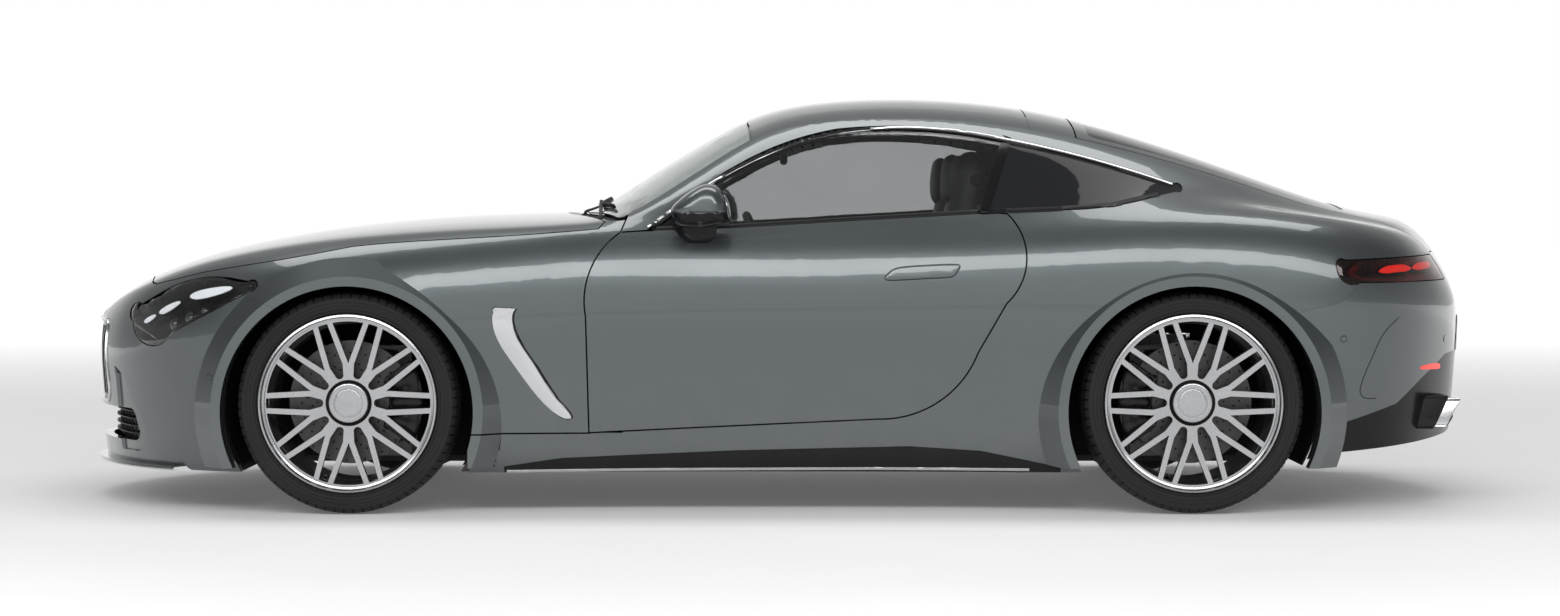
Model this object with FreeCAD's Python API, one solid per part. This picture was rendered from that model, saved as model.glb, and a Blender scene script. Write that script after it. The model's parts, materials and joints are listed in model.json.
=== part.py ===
import FreeCAD, Part

import math
import os

from FreeCAD import Vector

# A two-door fastback coupe.  Millimetres, +Z up, nose toward -X, left side at -Y,
# origin on the floor below the middle of the bounding box.

# ---------------------------------------------------------------- driving sizes
LENGTH = 4680.0
WIDTH = 1984.0
HEIGHT = 1354.0
FRONT_AXLE_X = -1375.0
REAR_AXLE_X = 1325.0
GROUND_CLEARANCE = 130.0

TYRE_RADIUS = 355.0
RIM_RADIUS = 284.0
FRONT_TYRE_WIDTH = 285.0
REAR_TYRE_WIDTH = 300.0
FRONT_WHEEL_Y = 829.0
REAR_WHEEL_Y = 822.0
WHEEL_CENTRE_Z = TYRE_RADIUS

ARCH_GAP = 48.0
ARCH_RADIUS = TYRE_RADIUS + ARCH_GAP
ARCH_DROP = 28.0
FLARE_BAND = 31.0
FLARE_RADIUS = ARCH_RADIUS + FLARE_BAND
FLARE_ROLL = 30.0
FLARE_ROOT_DEPTH = 12.0
FLARE_FOOT = 150.0
FLARE_HALF_WIDTHS = (987.0, 993.0)
LINER_SET_BACK = 9.0
LINER_RADIUS = ARCH_RADIUS + LINER_SET_BACK
LINER_WALL = 5.0
LINER_INNER_Y = 445.0

PANEL_WALL = 29.0
LID_WALL = 28.0
DOOR_SKIN = 30.0
LEDGE_CLEAR = 0.4
LEDGE_REACH = 16.0
ROOF_WALL = 34.0
FRAME_WALL = 62.0
DOOR_WALL = 96.0
GLASS_DEPTH = 3.0
GLASS_WALL = 5.0
SHUT_GAP = 5.0
SEAM_GAP = 0.5

# The body lines are drawn for these overall sizes and stretch with the driving ones.
DRAWN_LENGTH = 4680.0
DRAWN_WIDTH = 1984.0
DRAWN_HEIGHT = 1354.0
DRAWN_FRONT_AXLE = -1375.0
DRAWN_REAR_AXLE = 1325.0


def along(x):
    """A drawn place along the car, moved with the ends and the axles."""
    drawn = [-DRAWN_LENGTH / 2, DRAWN_FRONT_AXLE, DRAWN_REAR_AXLE, DRAWN_LENGTH / 2]
    real = [-LENGTH / 2, FRONT_AXLE_X, REAR_AXLE_X, LENGTH / 2]
    k = 0 if x < drawn[1] else (1 if x < drawn[2] else 2)
    share = (x - drawn[k]) / (drawn[k + 1] - drawn[k])
    return real[k] + share * (real[k + 1] - real[k])


def across(y):
    return y * WIDTH / DRAWN_WIDTH


def up(z):
    return z * HEIGHT / DRAWN_HEIGHT


# ---------------------------------------------------------------- body lines
# Each line runs from nose to tail: (x, half width y, height z), joined by a smooth cubic.
HIP = [(-2340, 140, 470), (-2322, 235, 474), (-2280, 370, 484), (-2210, 520, 504), (-2100, 680, 540),
       (-1900, 862, 585), (-1650, 952, 622), (-1375, 984, 645), (-1100, 978, 658),
       (-640, 946, 672), (0, 938, 684), (500, 946, 692), (900, 970, 700), (1325, 990, 706),
       (1650, 968, 704), (1950, 872, 694), (2100, 725, 680), (2210, 540, 660), (2280, 365, 636),
       (2318, 215, 610), (2340, 125, 590)]
SHOULDER = [(-2340, 130, 530), (-2322, 215, 548), (-2280, 335, 582), (-2210, 478, 618), (-2100, 632, 656),
            (-1900, 820, 696), (-1650, 912, 740), (-1375, 948, 780), (-1100, 944, 803),
            (-640, 914, 828), (0, 902, 842), (500, 912, 852), (900, 938, 872), (1325, 955, 896),
            (1650, 924, 888), (1950, 818, 846), (2100, 668, 802), (2210, 492, 748), (2280, 330, 694),
            (2318, 192, 652), (2340, 112, 618)]
BELT = [(-2340, 115, 560), (-2322, 185, 590), (-2280, 288, 626), (-2210, 408, 668), (-2100, 548, 712),
        (-1900, 740, 762), (-1650, 838, 808), (-1375, 874, 848), (-1100, 874, 870),
        (-640, 857, 900), (0, 838, 930), (500, 834, 950), (900, 838, 968), (1325, 834, 982),
        (1650, 794, 966), (1950, 690, 920), (2100, 550, 872), (2210, 400, 798), (2280, 268, 730),
        (2318, 155, 682), (2340, 92, 638)]
# The edge of the top surface: inner fender, screen pillar, roof rail, hatch edge.
RAIL = [(-2340, 95, 578), (-2322, 152, 608), (-2280, 232, 645), (-2210, 328, 686), (-2100, 448, 736),
        (-1900, 622, 800), (-1650, 718, 851), (-1375, 762, 886), (-1100, 778, 906),
        (-800, 784, 920), (-640, 786, 929), (-540, 778, 943), (-440, 748, 985), (-300, 703, 1070),
        (-150, 651, 1162), (-30, 612, 1222), (120, 590, 1256), (300, 582, 1269), (550, 580, 1265),
        (900, 572, 1222), (1250, 560, 1140), (1600, 545, 1034), (1900, 512, 952), (2100, 426, 912),
        (2210, 312, 826), (2280, 208, 752), (2318, 120, 700), (2340, 72, 655)]
CENTRE = [(-2340, 0, 604), (-2322, 0, 636), (-2280, 0, 668), (-2210, 0, 712), (-2100, 0, 765),
          (-1900, 0, 834),
          (-1650, 0, 888), (-1375, 0, 927), (-1100, 0, 950), (-860, 0, 960), (-740, 0, 964),
          (-660, 0, 969), (-585, 0, 1000), (-480, 0, 1070), (-300, 0, 1180), (-100, 0, 1288),
          (50, 0, 1329), (220, 0, 1350), (400, 0, 1354), (600, 0, 1348), (900, 0, 1310),
          (1250, 0, 1216), (1600, 0, 1097), (1900, 0, 993), (2050, 0, 958), (2130, 0, 945),
          (2205, 0, 896), (2275, 0, 808), (2318, 0, 735), (2340, 0, 675)]
# How far the flank tucks in below the hip: (x, tuck at the rocker, tuck at the sill).
TUCK = [(-2340, 18, 30), (-2100, 14, 30), (-1375, 16, 34), (-640, 30, 48), (300, 32, 52),
        (900, 26, 44), (1325, 20, 36), (1800, 26, 46), (2150, 34, 60), (2340, 30, 60)]
# How far the side glass bulges beyond the straight line from belt to rail (x, bulge, -).
BULGE = [(-2340, 4, 0), (-1650, 5, 0), (-800, 3, 0), (-500, 2, 0), (-100, 16, 0), (300, 20, 0),
         (700, 16, 0), (1000, 4, 0), (1300, -16, 0), (1600, -22, 0), (1900, -12, 0),
         (2150, 2, 0), (2340, 4, 0)]

# Stations: drawn x on the centre line, how far the rail runs behind it, lean of the low tail.
STATIONS = [
    (-2340, 0, 0.06), (-2340, 0, 0.06), (-2316, 0, 0.05), (-2260, 4, 0.04), (-2175, 10, 0.02),
    (-2060, 20, 0.0), (-1895, 24, 0.0), (-1650, 20, 0.0), (-1375, 16, 0.0), (-1110, 30, 0.0),
    (-900, 60, 0.0),
    (-750, 95, 0.0), (-668, 115, 0.0), (-585, 125, 0.0), (-440, 120, 0.0), (-260, 98, 0.0),
    (-90, 76, 0.0), (90, 50, 0.0), (320, 20, 0.0), (600, 0, 0.0), (900, -10, 0.0),
    (1200, -14, 0.0), (1500, -20, 0.0), (1770, -30, 0.0), (1980, -40, 0.0), (2120, -30, 0.02),
    (2205, -12, 0.03), (2268, 0, 0.04), (2315, 0, 0.05), (2340, 0, 0.06), (2340, 0, 0.06)]
TAIL_LEAN_TOP = 520.0
CROWN_SHARES = (0.72, 0.38)
END_SHRINK = 0.86


def cubic_through(points, column):
    """A natural cubic through (x, column) of a table of points, as a function of x."""
    xs = [float(p[0]) for p in points]
    ys = [float(p[column]) for p in points]
    n = len(xs)
    gaps = [xs[i + 1] - xs[i] for i in range(n - 1)]
    rise = [(ys[i + 1] - ys[i]) / gaps[i] for i in range(n - 1)]
    lower, diagonal, right = [0.0] * n, [1.0] * n, [0.0] * n
    upper = [0.0] * n
    for i in range(1, n - 1):
        lower[i] = gaps[i - 1]
        diagonal[i] = 2.0 * (gaps[i - 1] + gaps[i])
        upper[i] = gaps[i]
        right[i] = 6.0 * (rise[i] - rise[i - 1])
    for i in range(1, n):
        share = lower[i] / diagonal[i - 1]
        diagonal[i] -= share * upper[i - 1]
        right[i] -= share * right[i - 1]
    bend = [0.0] * n
    for i in range(n - 2, 0, -1):
        bend[i] = (right[i] - upper[i] * bend[i + 1]) / diagonal[i]

    def value(x):
        x = min(max(x, xs[0]), xs[-1])
        i = 0
        while i < n - 2 and x > xs[i + 1]:
            i += 1
        a, b = xs[i + 1] - x, x - xs[i]
        h = gaps[i]
        return (a * ys[i] + b * ys[i + 1]) / h + (
            (a ** 3 / h - a * h) * bend[i] + (b ** 3 / h - b * h) * bend[i + 1]) / 6.0
    return value


LINE = {name: (cubic_through(table, 1), cubic_through(table, 2))
        for name, table in (("hip", HIP), ("shoulder", SHOULDER), ("belt", BELT), ("rail", RAIL),
                            ("centre", CENTRE), ("tuck", TUCK), ("bulge", BULGE))}


def half_section(station, bow):
    """Points (x, y, z) of one half of a body section, from the floor edge up to the centre."""
    rail_x = min(max(station + bow, -DRAWN_LENGTH / 2), DRAWN_LENGTH / 2)
    hip_y, hip_z = (line(rail_x) for line in LINE["hip"])
    shoulder_y, shoulder_z = (line(rail_x) for line in LINE["shoulder"])
    belt_y, belt_z = (line(rail_x) for line in LINE["belt"])
    rail_y, rail_z = (line(rail_x) for line in LINE["rail"])
    rocker_tuck, sill_tuck = (line(rail_x) for line in LINE["tuck"])
    bulge = LINE["bulge"][0](rail_x)
    centre_z = LINE["centre"][1](station)
    lean_y, lean_z = belt_y - rail_y, rail_z - belt_z
    span = math.hypot(lean_y, lean_z)
    flank = [
        (rail_x, hip_y - sill_tuck - 26, GROUND_CLEARANCE * DRAWN_HEIGHT / HEIGHT),
        (rail_x, hip_y - sill_tuck, 168),
        (rail_x, hip_y - rocker_tuck, 0.45 * 168 + 0.55 * hip_z - 60),
        (rail_x, hip_y - 0.25 * rocker_tuck, 0.12 * 168 + 0.88 * hip_z - 40),
        (rail_x, hip_y, hip_z + 10),
        (rail_x, shoulder_y, shoulder_z),
        (rail_x, belt_y, belt_z),
        (rail_x, (belt_y + rail_y) / 2 + bulge * lean_z / span,
         (belt_z + rail_z) / 2 + bulge * lean_y / span),
        (rail_x, rail_y, rail_z)]
    crown = []
    for share in CROWN_SHARES:
        crown.append((station + (rail_x - station) * share ** 2, rail_y * share,
                      centre_z - (centre_z - rail_z) * share ** 2.3))
    return flank + crown + [(station, 0.0, centre_z)]


def skin_points():
    """Grid of places on the skin: one row per station, left floor edge to right floor edge."""
    grid = []
    for station, bow, lean in STATIONS:
        half = [(x - lean * max(TAIL_LEAN_TOP - z, 0.0) * (1 if x > 0 else -1), y, z)
                for x, y, z in half_section(station, bow)]
        section = [Vector(along(x), -across(y), up(z)) for x, y, z in half]
        section += [Vector(p.x, -p.y, p.z) for p in reversed(section[:-1])]
        grid.append(section)
    for end, inside in ((0, 1), (-1, -2)):
        floor_z = grid[end][0].z
        grid[end] = [flat_ring_point(p, grid[inside], floor_z) for p in grid[inside]]
    return grid


def flat_ring_point(point, ring, floor_z):
    """The end ring lies in the plane of the ring beside it, a little smaller all round."""
    a, b, c = ring[0], ring[5], ring[-1]
    smaller = Vector(point.x, point.y * END_SHRINK, floor_z + (point.z - floor_z) * END_SHRINK)
    return on_plane(smaller, a, b, c, 0.0)


def averaged(grid):
    """What a cubic spline makes of a net: each pole drawn toward its neighbours."""
    rows, columns = len(grid), len(grid[0])
    result = [[Vector(p) for p in row] for row in grid]
    for i in range(1, rows - 1):
        for j in range(columns):
            result[i][j] = (grid[i - 1][j] + grid[i][j] * 4 + grid[i + 1][j]) * (1 / 6.0)
    middle = [[Vector(p) for p in row] for row in result]
    for i in range(rows):
        for j in range(1, columns - 1):
            result[i][j] = (middle[i][j - 1] + middle[i][j] * 4 + middle[i][j + 1]) * (1 / 6.0)
    return result


def skin_poles():
    """Poles pushed out by what the spline cuts off, so that the skin meets its lines."""
    grid = skin_points()
    soft = averaged(grid)
    floor_z = grid[0][0].z
    poles = []
    for i, row in enumerate(grid):
        line = []
        for j, point in enumerate(row):
            pole = point + (point - soft[i][j]) * 0.8
            if i in (0, 1, len(grid) - 2, len(grid) - 1):
                pole = Vector(point)
            if j in (0, len(row) - 1):
                pole.z = floor_z
            line.append(pole)
        poles.append(line)
    return poles


BOTTOM_DROP = 45.0
END_ROOM = [30, 30, 36, 48, 66]


def hull(depth):
    """The whole outer body, moved inward by depth, as a closed solid."""
    poles = skin_poles()
    rows, columns = len(poles), len(poles[0])
    moved = []
    for i in range(rows):
        end = min(i, rows - 1 - i)
        room = END_ROOM[end] if end < len(END_ROOM) else 200.0
        line = []
        for j in range(columns):
            lengthwise = poles[min(i + 1, rows - 1)][j] - poles[max(i - 1, 0)][j]
            crosswise = poles[i][min(j + 1, columns - 1)] - poles[i][max(j - 1, 0)]
            normal = crosswise.cross(lengthwise)
            normal.normalize()
            pole = poles[i][j] + normal * min(depth, room)
            if j in (0, columns - 1):
                pole.z = poles[i][j].z - (BOTTOM_DROP if depth > 0 else 0.0)
            line.append(pole)
        moved.append(line)
    for i in (0, 1):
        for j in range(columns):
            moved[i][j] = nose_plane(moved[i][j], poles, depth)
            moved[-1 - i][j] = tail_plane(moved[-1 - i][j], poles, depth)
    surface = Part.BSplineSurface()
    surface.buildFromPolesMultsKnots(
        moved, [4] + [1] * (rows - 4) + [4], [4] + [1] * (columns - 4) + [4],
        list(range(rows - 2)), list(range(columns - 2)), False, False, 3, 3)
    skin = surface.toShape()
    return closed_solid(skin)


def nose_plane(point, poles, depth):
    """Keeps the nose ring flat, depth behind the outer one."""
    a, b, c = poles[0][0], poles[0][5], poles[0][-1]
    return on_plane(point, a, b, c, min(depth, END_ROOM[0]))


def tail_plane(point, poles, depth):
    a, b, c = poles[-1][0], poles[-1][5], poles[-1][-1]
    return on_plane(point, a, b, c, -min(depth, END_ROOM[0]))


def on_plane(point, a, b, c, shift):
    normal = (b - a).cross(c - a)
    normal.normalize()
    if normal.x < 0:
        normal = normal * -1
    away = (point - a).dot(normal) - shift
    return Vector(point.x - away / normal.x, point.y, point.z)


def closed_solid(skin):
    """Closes the skin with a flat floor, nose cap and tail cap."""
    edges = skin.Edges
    rings = [e for e in edges if abs(e.Vertexes[0].Point.y + e.Vertexes[-1].Point.y) < 1.0
             and abs(e.Vertexes[0].Point.x - e.Vertexes[-1].Point.x) < 1.0]
    sides = [e for e in edges if not any(e.isSame(r) for r in rings)]
    faces = [skin]
    lines = []
    for ring in rings:
        ends = [v.Point for v in ring.Vertexes]
        line = Part.makeLine(ends[0], ends[-1])
        lines.append(line)
        faces.append(Part.Face(Part.Wire([ring, line])))
    floor_wire = Part.Wire(Part.sortEdges(sides + lines)[0])
    faces.append(Part.Face(floor_wire))
    shell = Part.makeShell(faces)
    shell.sewShape()
    solid = Part.makeSolid(shell)
    if solid.Volume < 0:
        solid.reverse()
    return solid


# ---------------------------------------------------------------- outlines and panels
def outline_face(points, place):
    """A flat face from points; an entry with two points is an arc through the first."""
    edges = []
    here = place(*points[0])
    for entry in points[1:] + [points[0]]:
        if isinstance(entry[0], tuple):
            middle, end = place(*entry[0]), place(*entry[1])
            edges.append(Part.Arc(here, middle, end).toShape())
            here = end
        else:
            end = place(*entry)
            if (end - here).Length > 0.01:
                edges.append(Part.makeLine(here, end))
            here = end
    return Part.Face(Part.Wire(edges))


def resized(face, amount):
    return face.makeOffset2D(amount, 0) if amount else face


OUTSIDE_Y = 1150.0


def side_prism(points, grow=0.0, inner_y=0.0, outer_y=OUTSIDE_Y):
    """A side-view outline (x, z), pushed through the left half of the car."""
    face = outline_face(points, lambda x, z: Vector(along(x), -inner_y, up(z)))
    return resized(face, grow).extrude(Vector(0, inner_y - outer_y, 0))


def plan_prism(points, grow=0.0, bottom=60.0, top=1600.0):
    """A plan-view outline (x, y), pushed up through the car."""
    face = outline_face(points, lambda x, y: Vector(along(x), across(y), bottom))
    return resized(face, grow).extrude(Vector(0, 0, top - bottom))


def both_sides(points):
    """A plan outline of the left half, mirrored into a whole one."""
    places = [entry[-1] if isinstance(entry[0], tuple) else entry for entry in points]
    back = [(places[-1][0], -places[-1][1])]
    for k in range(len(points) - 1, 0, -1):
        target = (places[k - 1][0], -places[k - 1][1])
        if isinstance(points[k][0], tuple):
            middle = points[k][0]
            back.append(((middle[0], -middle[1]), target))
        else:
            back.append(target)
    return list(points) + back


def mirrored(shape):
    return shape.mirror(Vector(0, 0, 0), Vector(0, 1, 0))


def block(x0, x1, y0, y1, z0, z1):
    return Part.makeBox(x1 - x0, y1 - y0, z1 - z0, Vector(x0, y0, z0))


def solids_of(shape, smallest=2000.0):
    """The shape's solids as one compound, without crumbs."""
    found = [s for s in shape.Solids if s.Volume > smallest]
    return found[0] if len(found) == 1 else Part.makeCompound(found)


HULLS = {}


def body_at(depth):
    if depth not in HULLS:
        HULLS[depth] = hull(depth)
    return HULLS[depth]


def panel(region, wall, depth=0.0):
    """The part of the skin inside region, from depth to depth + wall."""
    return region.common(body_at(depth)).cut(body_at(depth + wall))


# Door, glass and shut lines seen from the left (x, z).
DOOR_TOP = [(-508, 901), (-426, 906), (-140, 916), (263, 940), (708, 963)]
DOOR = DOOR_TOP + [(738, 960), ((792, 838), (728, 675)), (638, 516), ((548, 385), (321, 302)),
                   (-608, 258), (-616, 634), ((-598, 790), (-508, 901))]
GLASS_FRONT = (-426, 906)
GLASS_TOP = [(-250, 1043), ((-60, 1160), (193, 1240)), ((420, 1249), (690, 1219)),
             ((939, 1168), (1223, 1084)), (1296, 1060), ((1320, 1045), (1296, 1031))]
GLASS_LOW = [(1243, 1021), ((1080, 984), (900, 971)), (708, 963), (263, 940), (-140, 916)]
SIDE_GLASS = [GLASS_FRONT] + GLASS_TOP + GLASS_LOW
BELT_BAND = [(-440, 840), (640, 890), (640, 1000), (-330, 935)]
GLASS_TRIM = 13.0
GLASS_LEDGE = 28.0
GLASS_IN_DOOR = 34.0
TRIM_PROUD = 1.5
DIVIDER_X = 663.0
DIVIDER_LEAN = 0.352
DIVIDER_Z = 969.0
DIVIDER_WIDTH = 14.0

BUMPER_SPLIT = [(-2600, 60), (-1500, 60), (-1500, 600), (-1610, 664), (-1716, 699), (-1850, 760),
                (-2040, 860), (-2600, 860)]
HEADLAMP = [(-2125, 604), ((-2142, 626), (-2092, 664)), (-2010, 708), ((-1880, 752), (-1760, 754)),
            (-1700, 744), ((-1668, 735), (-1690, 712)), (-1800, 655), (-1960, 575),
            ((-2060, 532), (-2125, 604))]
HEADLAMP_INNER_Y = 470.0
TAIL_LAMP = [(1784, 786), ((1784, 808), (1815, 813)), (2190, 826), ((2248, 786), (2222, 740)),
             (1862, 738), ((1800, 748), (1784, 786))]
TAIL_LAMP_INNER_Y = 440.0
REAR_SPLIT = [(2600, 60), (1500, 60), (1500, 590), (1595, 630), (1739, 665), ((1815, 690), (1856, 737)),
              (1856, 775), (2120, 790), (2120, 830), (2600, 830)]
DIFFUSER = [(1500, 60), (1725, 188), (1738, 267), (2004, 345), (2104, 421), (2221, 493),
            (2303, 499), (2600, 499), (2600, 60)]
UNDER_TAIL = [(1500, 60), (1725, 188), (2600, 246), (2600, 60)]
SKIRT = [(-880, 60), (-880, 150), (-700, 176), (-140, 200), (421, 214), (650, 200), (905, 148), (905, 60)]
FENDER_BACK = [(-3000, 257), (-608, 257), (-616, 634), ((-598, 790), (-508, 901)), (-470, 1000),
               (-3000, 1400)]
FENDER_FOOT = 257.0
VENT = [(-913, 655), ((-908, 664), (-895, 664)), (-858, 662), ((-846, 660), (-848, 648)),
        ((-822, 560), (-765, 470)),
        (-668, 312), ((-668, 303), (-680, 303)), (-700, 308), ((-800, 420), (-870, 540)), (-905, 620)]
VENT_BLADE = [(-910, 652), ((-905, 659), (-895, 661)), (-862, 659), ((-852, 657), (-853, 648)),
              ((-832, 560), (-778, 470)), (-672, 312), ((-672, 306), (-680, 306)), (-697, 311),
              ((-797, 422), (-867, 542)), (-902, 622)]
VENT_DEPTH = 12.0
VENT_PROUD = 2.0
SCOOP = [(-2280, 470), ((-2200, 450), (-2130, 350)), ((-2078, 270), (-2070, 225)),
         ((-2085, 190), (-2120, 180)),
         (-2300, 176)]
SCOOP_DEPTH = 10.0

# Hood, screen, roof and hatch seen from above, left half (x, y).
HOOD = both_sides([(-735, 0), (-700, -340), (-560, -800), (-580, -842), ((-1000, -864), (-1375, -860)),
                   ((-1720, -818), (-1980, -672)), (-2046, -604), ((-2068, -560), (-2080, -500)),
                   (-2128, -220)])
SCREEN = both_sides([(-664, 0), (-640, -300), (-524, -748), ((-508, -768), (-490, -764)), (-90, -592),
                     (-112, -200)])
COWL = both_sides([(-790, 0), (-770, -340), (-590, -742), (-515, -742), (-560, -600), (-640, -260)])
ROOF = both_sides([(-108, -200), (-84, -590), ((300, -564), (827, -552))])
ROOF_REAR = both_sides([(831, -552), (981, -548)])
HATCH = both_sides([(985, -548), (1250, -540), (1600, -526), (1950, -506), ((2120, -470), (2190, -380)),
                    (2262, -200)])
REAR_GLASS = both_sides([(1030, -470), ((1040, -498), (1070, -506)), (1500, -482), (1820, -440),
                         ((1880, -420), (1895, -360))])


def wheel_places():
    return (("front", along(DRAWN_FRONT_AXLE), FRONT_WHEEL_Y),
    ("rear", along(DRAWN_REAR_AXLE), REAR_WHEEL_Y))


def arch_tool(x, radius, inner_y=0.0, drop=ARCH_DROP):
    centre = Vector(x, -OUTSIDE_Y, WHEEL_CENTRE_Z - drop)
    return Part.makeCylinder(radius, OUTSIDE_Y - inner_y, centre, Vector(0, 1, 0))


def below(x0, x1, z):
    return block(x0, x1, -OUTSIDE_Y, OUTSIDE_Y, 0, z)


def save(name, shape):
    shape.exportStep("parts/" + name + ".step")


def save_pair(name, shape):
    save(name + "_left", shape)
    save(name + "_right", mirrored(shape))


# ---------------------------------------------------------------- body panels
def arches(shape):
    """Cuts the left wheel openings."""
    for _, x, _ in wheel_places():
        shape = shape.cut(arch_tool(x, ARCH_RADIUS))
    return shape


def with_mirror_image(left):
    """One piece that crosses the car, from its left half."""
    return solids_of(left.fuse(mirrored(left)).removeSplitter(), 50000)


def flare(x, half_width):
    """Lip of a wheel opening: a flat band outside, rolling into the body above."""
    root = FLARE_RADIUS + FLARE_ROLL
    centre = Vector(x, -half_width, WHEEL_CENTRE_Z - ARCH_DROP)
    cone = Part.makeCone(FLARE_RADIUS, root + FLARE_ROLL, 2 * FLARE_ROLL, centre, Vector(0, 1, 0))
    cone = cone.cut(arch_tool(x, ARCH_RADIUS, half_width - 300)).cut(body_at(FLARE_ROOT_DEPTH))
    return cone.cut(below(x - 600, x + 600, FLARE_FOOT))


def flares(region):
    """The parts of both left flares that lie inside a panel's region."""
    found = [flare(x, half).common(region) for (_, x, _), half in zip(wheel_places(), FLARE_HALF_WIDTHS)]
    return found[0].fuse(found[1])


def make_hood():
    region = plan_prism(HOOD, -SHUT_GAP / 2, bottom=600)
    return solids_of(panel(region, LID_WALL))


def hood_ledge():
    """The flange under the rim of the hood, on which it lies."""
    band = plan_prism(HOOD, 12.0, bottom=560).cut(plan_prism(HOOD, -LEDGE_REACH, bottom=500))
    return panel(band, 8.0, LID_WALL + LEDGE_CLEAR)


def stepped_opening(wide, narrow, step_depth):
    """An opening that is wide down to step_depth and narrower below: a rebate."""
    return wide.cut(body_at(step_depth)).fuse(narrow)


def make_fender():
    """Front fender: behind the bumper, ahead of the door, outside the hood."""
    region = side_prism(FENDER_BACK, -SHUT_GAP / 2, inner_y=300)
    region = region.cut(side_prism(BUMPER_SPLIT, SEAM_GAP, inner_y=200))
    region = region.cut(side_prism(HEADLAMP, SEAM_GAP, inner_y=200))
    region = region.cut(plan_prism(HOOD, SHUT_GAP / 2))
    region = region.cut(plan_prism(SCREEN, 40.0))
    region = region.cut(block(-3000, 0, -560, 0, 0, 2000)).cut(plan_prism(COWL, SEAM_GAP))
    shape = panel(region, PANEL_WALL).fuse(flares(region))
    shape = shape.cut(side_prism(VENT, 0.0, inner_y=300).cut(body_at(VENT_DEPTH)))
    ledge = hood_ledge().common(block(along(-1900), along(-600), -OUTSIDE_Y, -560, 0, 1200))
    ledge = ledge.cut(side_prism(BUMPER_SPLIT, SEAM_GAP, inner_y=200))
    ledge = ledge.cut(side_prism(HEADLAMP, SEAM_GAP, inner_y=200))
    return solids_of(arches(shape.fuse(ledge)), 50000)


def make_fender_vent():
    """Bright blade that lies in the vent behind the front wheel."""
    region = side_prism(VENT_BLADE, 0.0, inner_y=300)
    return solids_of(panel(region, VENT_DEPTH - LEDGE_CLEAR + VENT_PROUD, -VENT_PROUD))


def make_front_bumper():
    region = side_prism(BUMPER_SPLIT).cut(plan_prism(HOOD, SHUT_GAP / 2, bottom=600))
    region = region.cut(side_prism(HEADLAMP, SEAM_GAP, inner_y=HEADLAMP_INNER_Y))
    shape = arches(panel(region, PANEL_WALL).fuse(flares(side_prism(BUMPER_SPLIT))))
    shape = shape.cut(side_prism(SCOOP, 0.0, inner_y=520).cut(body_at(SCOOP_DEPTH)))
    return with_mirror_image(shape.cut(grille_tool()).cut(intake_tool()))


GRILLE_HALF_WIDTH = 430.0
GRILLE_BOTTOM = 338.0
GRILLE_TOP = 594.0
GRILLE_BLADES = 15
GRILLE_DEPTH = 8.0
GRILLE_WALL = 26.0
INTAKE_HALF_WIDTH = 640.0
INTAKE_BOTTOM = 212.0
INTAKE_TOP = 318.0


def front_opening(half_width, bottom, top, corner, depth=330.0):
    """A rounded opening through the nose, wider at its foot."""
    lean = 0.14 * (top - bottom)
    pts = [(-half_width, bottom + corner), (-half_width + corner * 0.3, bottom + corner * 0.3),
           (-half_width + corner, bottom), (half_width - corner, bottom),
           (half_width - corner * 0.3, bottom + corner * 0.3), (half_width, bottom + corner),
           (half_width - lean, top - corner), (half_width - lean - corner * 0.3, top - corner * 0.3),
           (half_width - lean - corner, top), (-half_width + lean + corner, top),
           (-half_width + lean + corner * 0.3, top - corner * 0.3), (-half_width + lean, top - corner)]
    entries = [pts[0], (pts[1], pts[2]), pts[3], (pts[4], pts[5]), pts[6], (pts[7], pts[8]), pts[9],
               (pts[10], pts[11])]
    x = along(-DRAWN_LENGTH / 2) - 60
    face = outline_face(entries, lambda y, z: Vector(x, across(y), up(z)))
    return face.extrude(Vector(depth, 0, 0))


def grille_tool():
    return front_opening(GRILLE_HALF_WIDTH, GRILLE_BOTTOM, GRILLE_TOP, 60.0)


def intake_tool():
    return front_opening(INTAKE_HALF_WIDTH, INTAKE_BOTTOM, INTAKE_TOP, 34.0, 420.0)


def make_side_frame():
    """Sill, pillars, roof rail and rear quarter in one pressing, around the door."""
    x0, x1 = along(-990), along(2200)
    region = block(x0, x1, -OUTSIDE_Y, -400, 60, 1600)
    region = region.cut(block(x0, along(-500), -OUTSIDE_Y, 0, FENDER_FOOT + 0.5, 860))
    region = region.cut(side_prism(FENDER_BACK, SHUT_GAP / 2, inner_y=200))
    region = region.cut(side_prism(REAR_SPLIT, SEAM_GAP, inner_y=200))
    region = region.cut(side_prism(TAIL_LAMP, SEAM_GAP, inner_y=200))
    region = region.cut(side_prism(SKIRT, SEAM_GAP, inner_y=200))
    region = region.cut(plan_prism(HOOD, SHUT_GAP / 2)).cut(plan_prism(SCREEN, SEAM_GAP))
    region = region.cut(plan_prism(ROOF, SEAM_GAP)).cut(plan_prism(ROOF_REAR, SEAM_GAP))
    shape = panel(region, FRAME_WALL).fuse(flares(region))
    shape = shape.cut(stepped_opening(plan_prism(HATCH, SHUT_GAP / 2, bottom=700),
                                      plan_prism(HATCH, -LEDGE_REACH, bottom=700), ROOF_WALL + LEDGE_CLEAR))
    shape = shape.cut(stepped_opening(side_prism(DOOR, SHUT_GAP / 2, inner_y=200),
                                      side_prism(DOOR, -LEDGE_REACH, inner_y=200), DOOR_SKIN + LEDGE_CLEAR))
    shape = shape.cut(stepped_opening(side_prism(SIDE_GLASS, 0.0, inner_y=200),
                                      side_prism(SIDE_GLASS, -GLASS_LEDGE, inner_y=200),
                                      GLASS_DEPTH + GLASS_WALL + LEDGE_CLEAR))
    shape = shape.cut(side_prism(BELT_BAND, 0.0, inner_y=200))
    shape = shape.cut(door_glass_region(SEAM_GAP).cut(body_at(GLASS_DEPTH + GLASS_WALL + LEDGE_CLEAR)))
    return solids_of(arches(shape), 50000)


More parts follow.
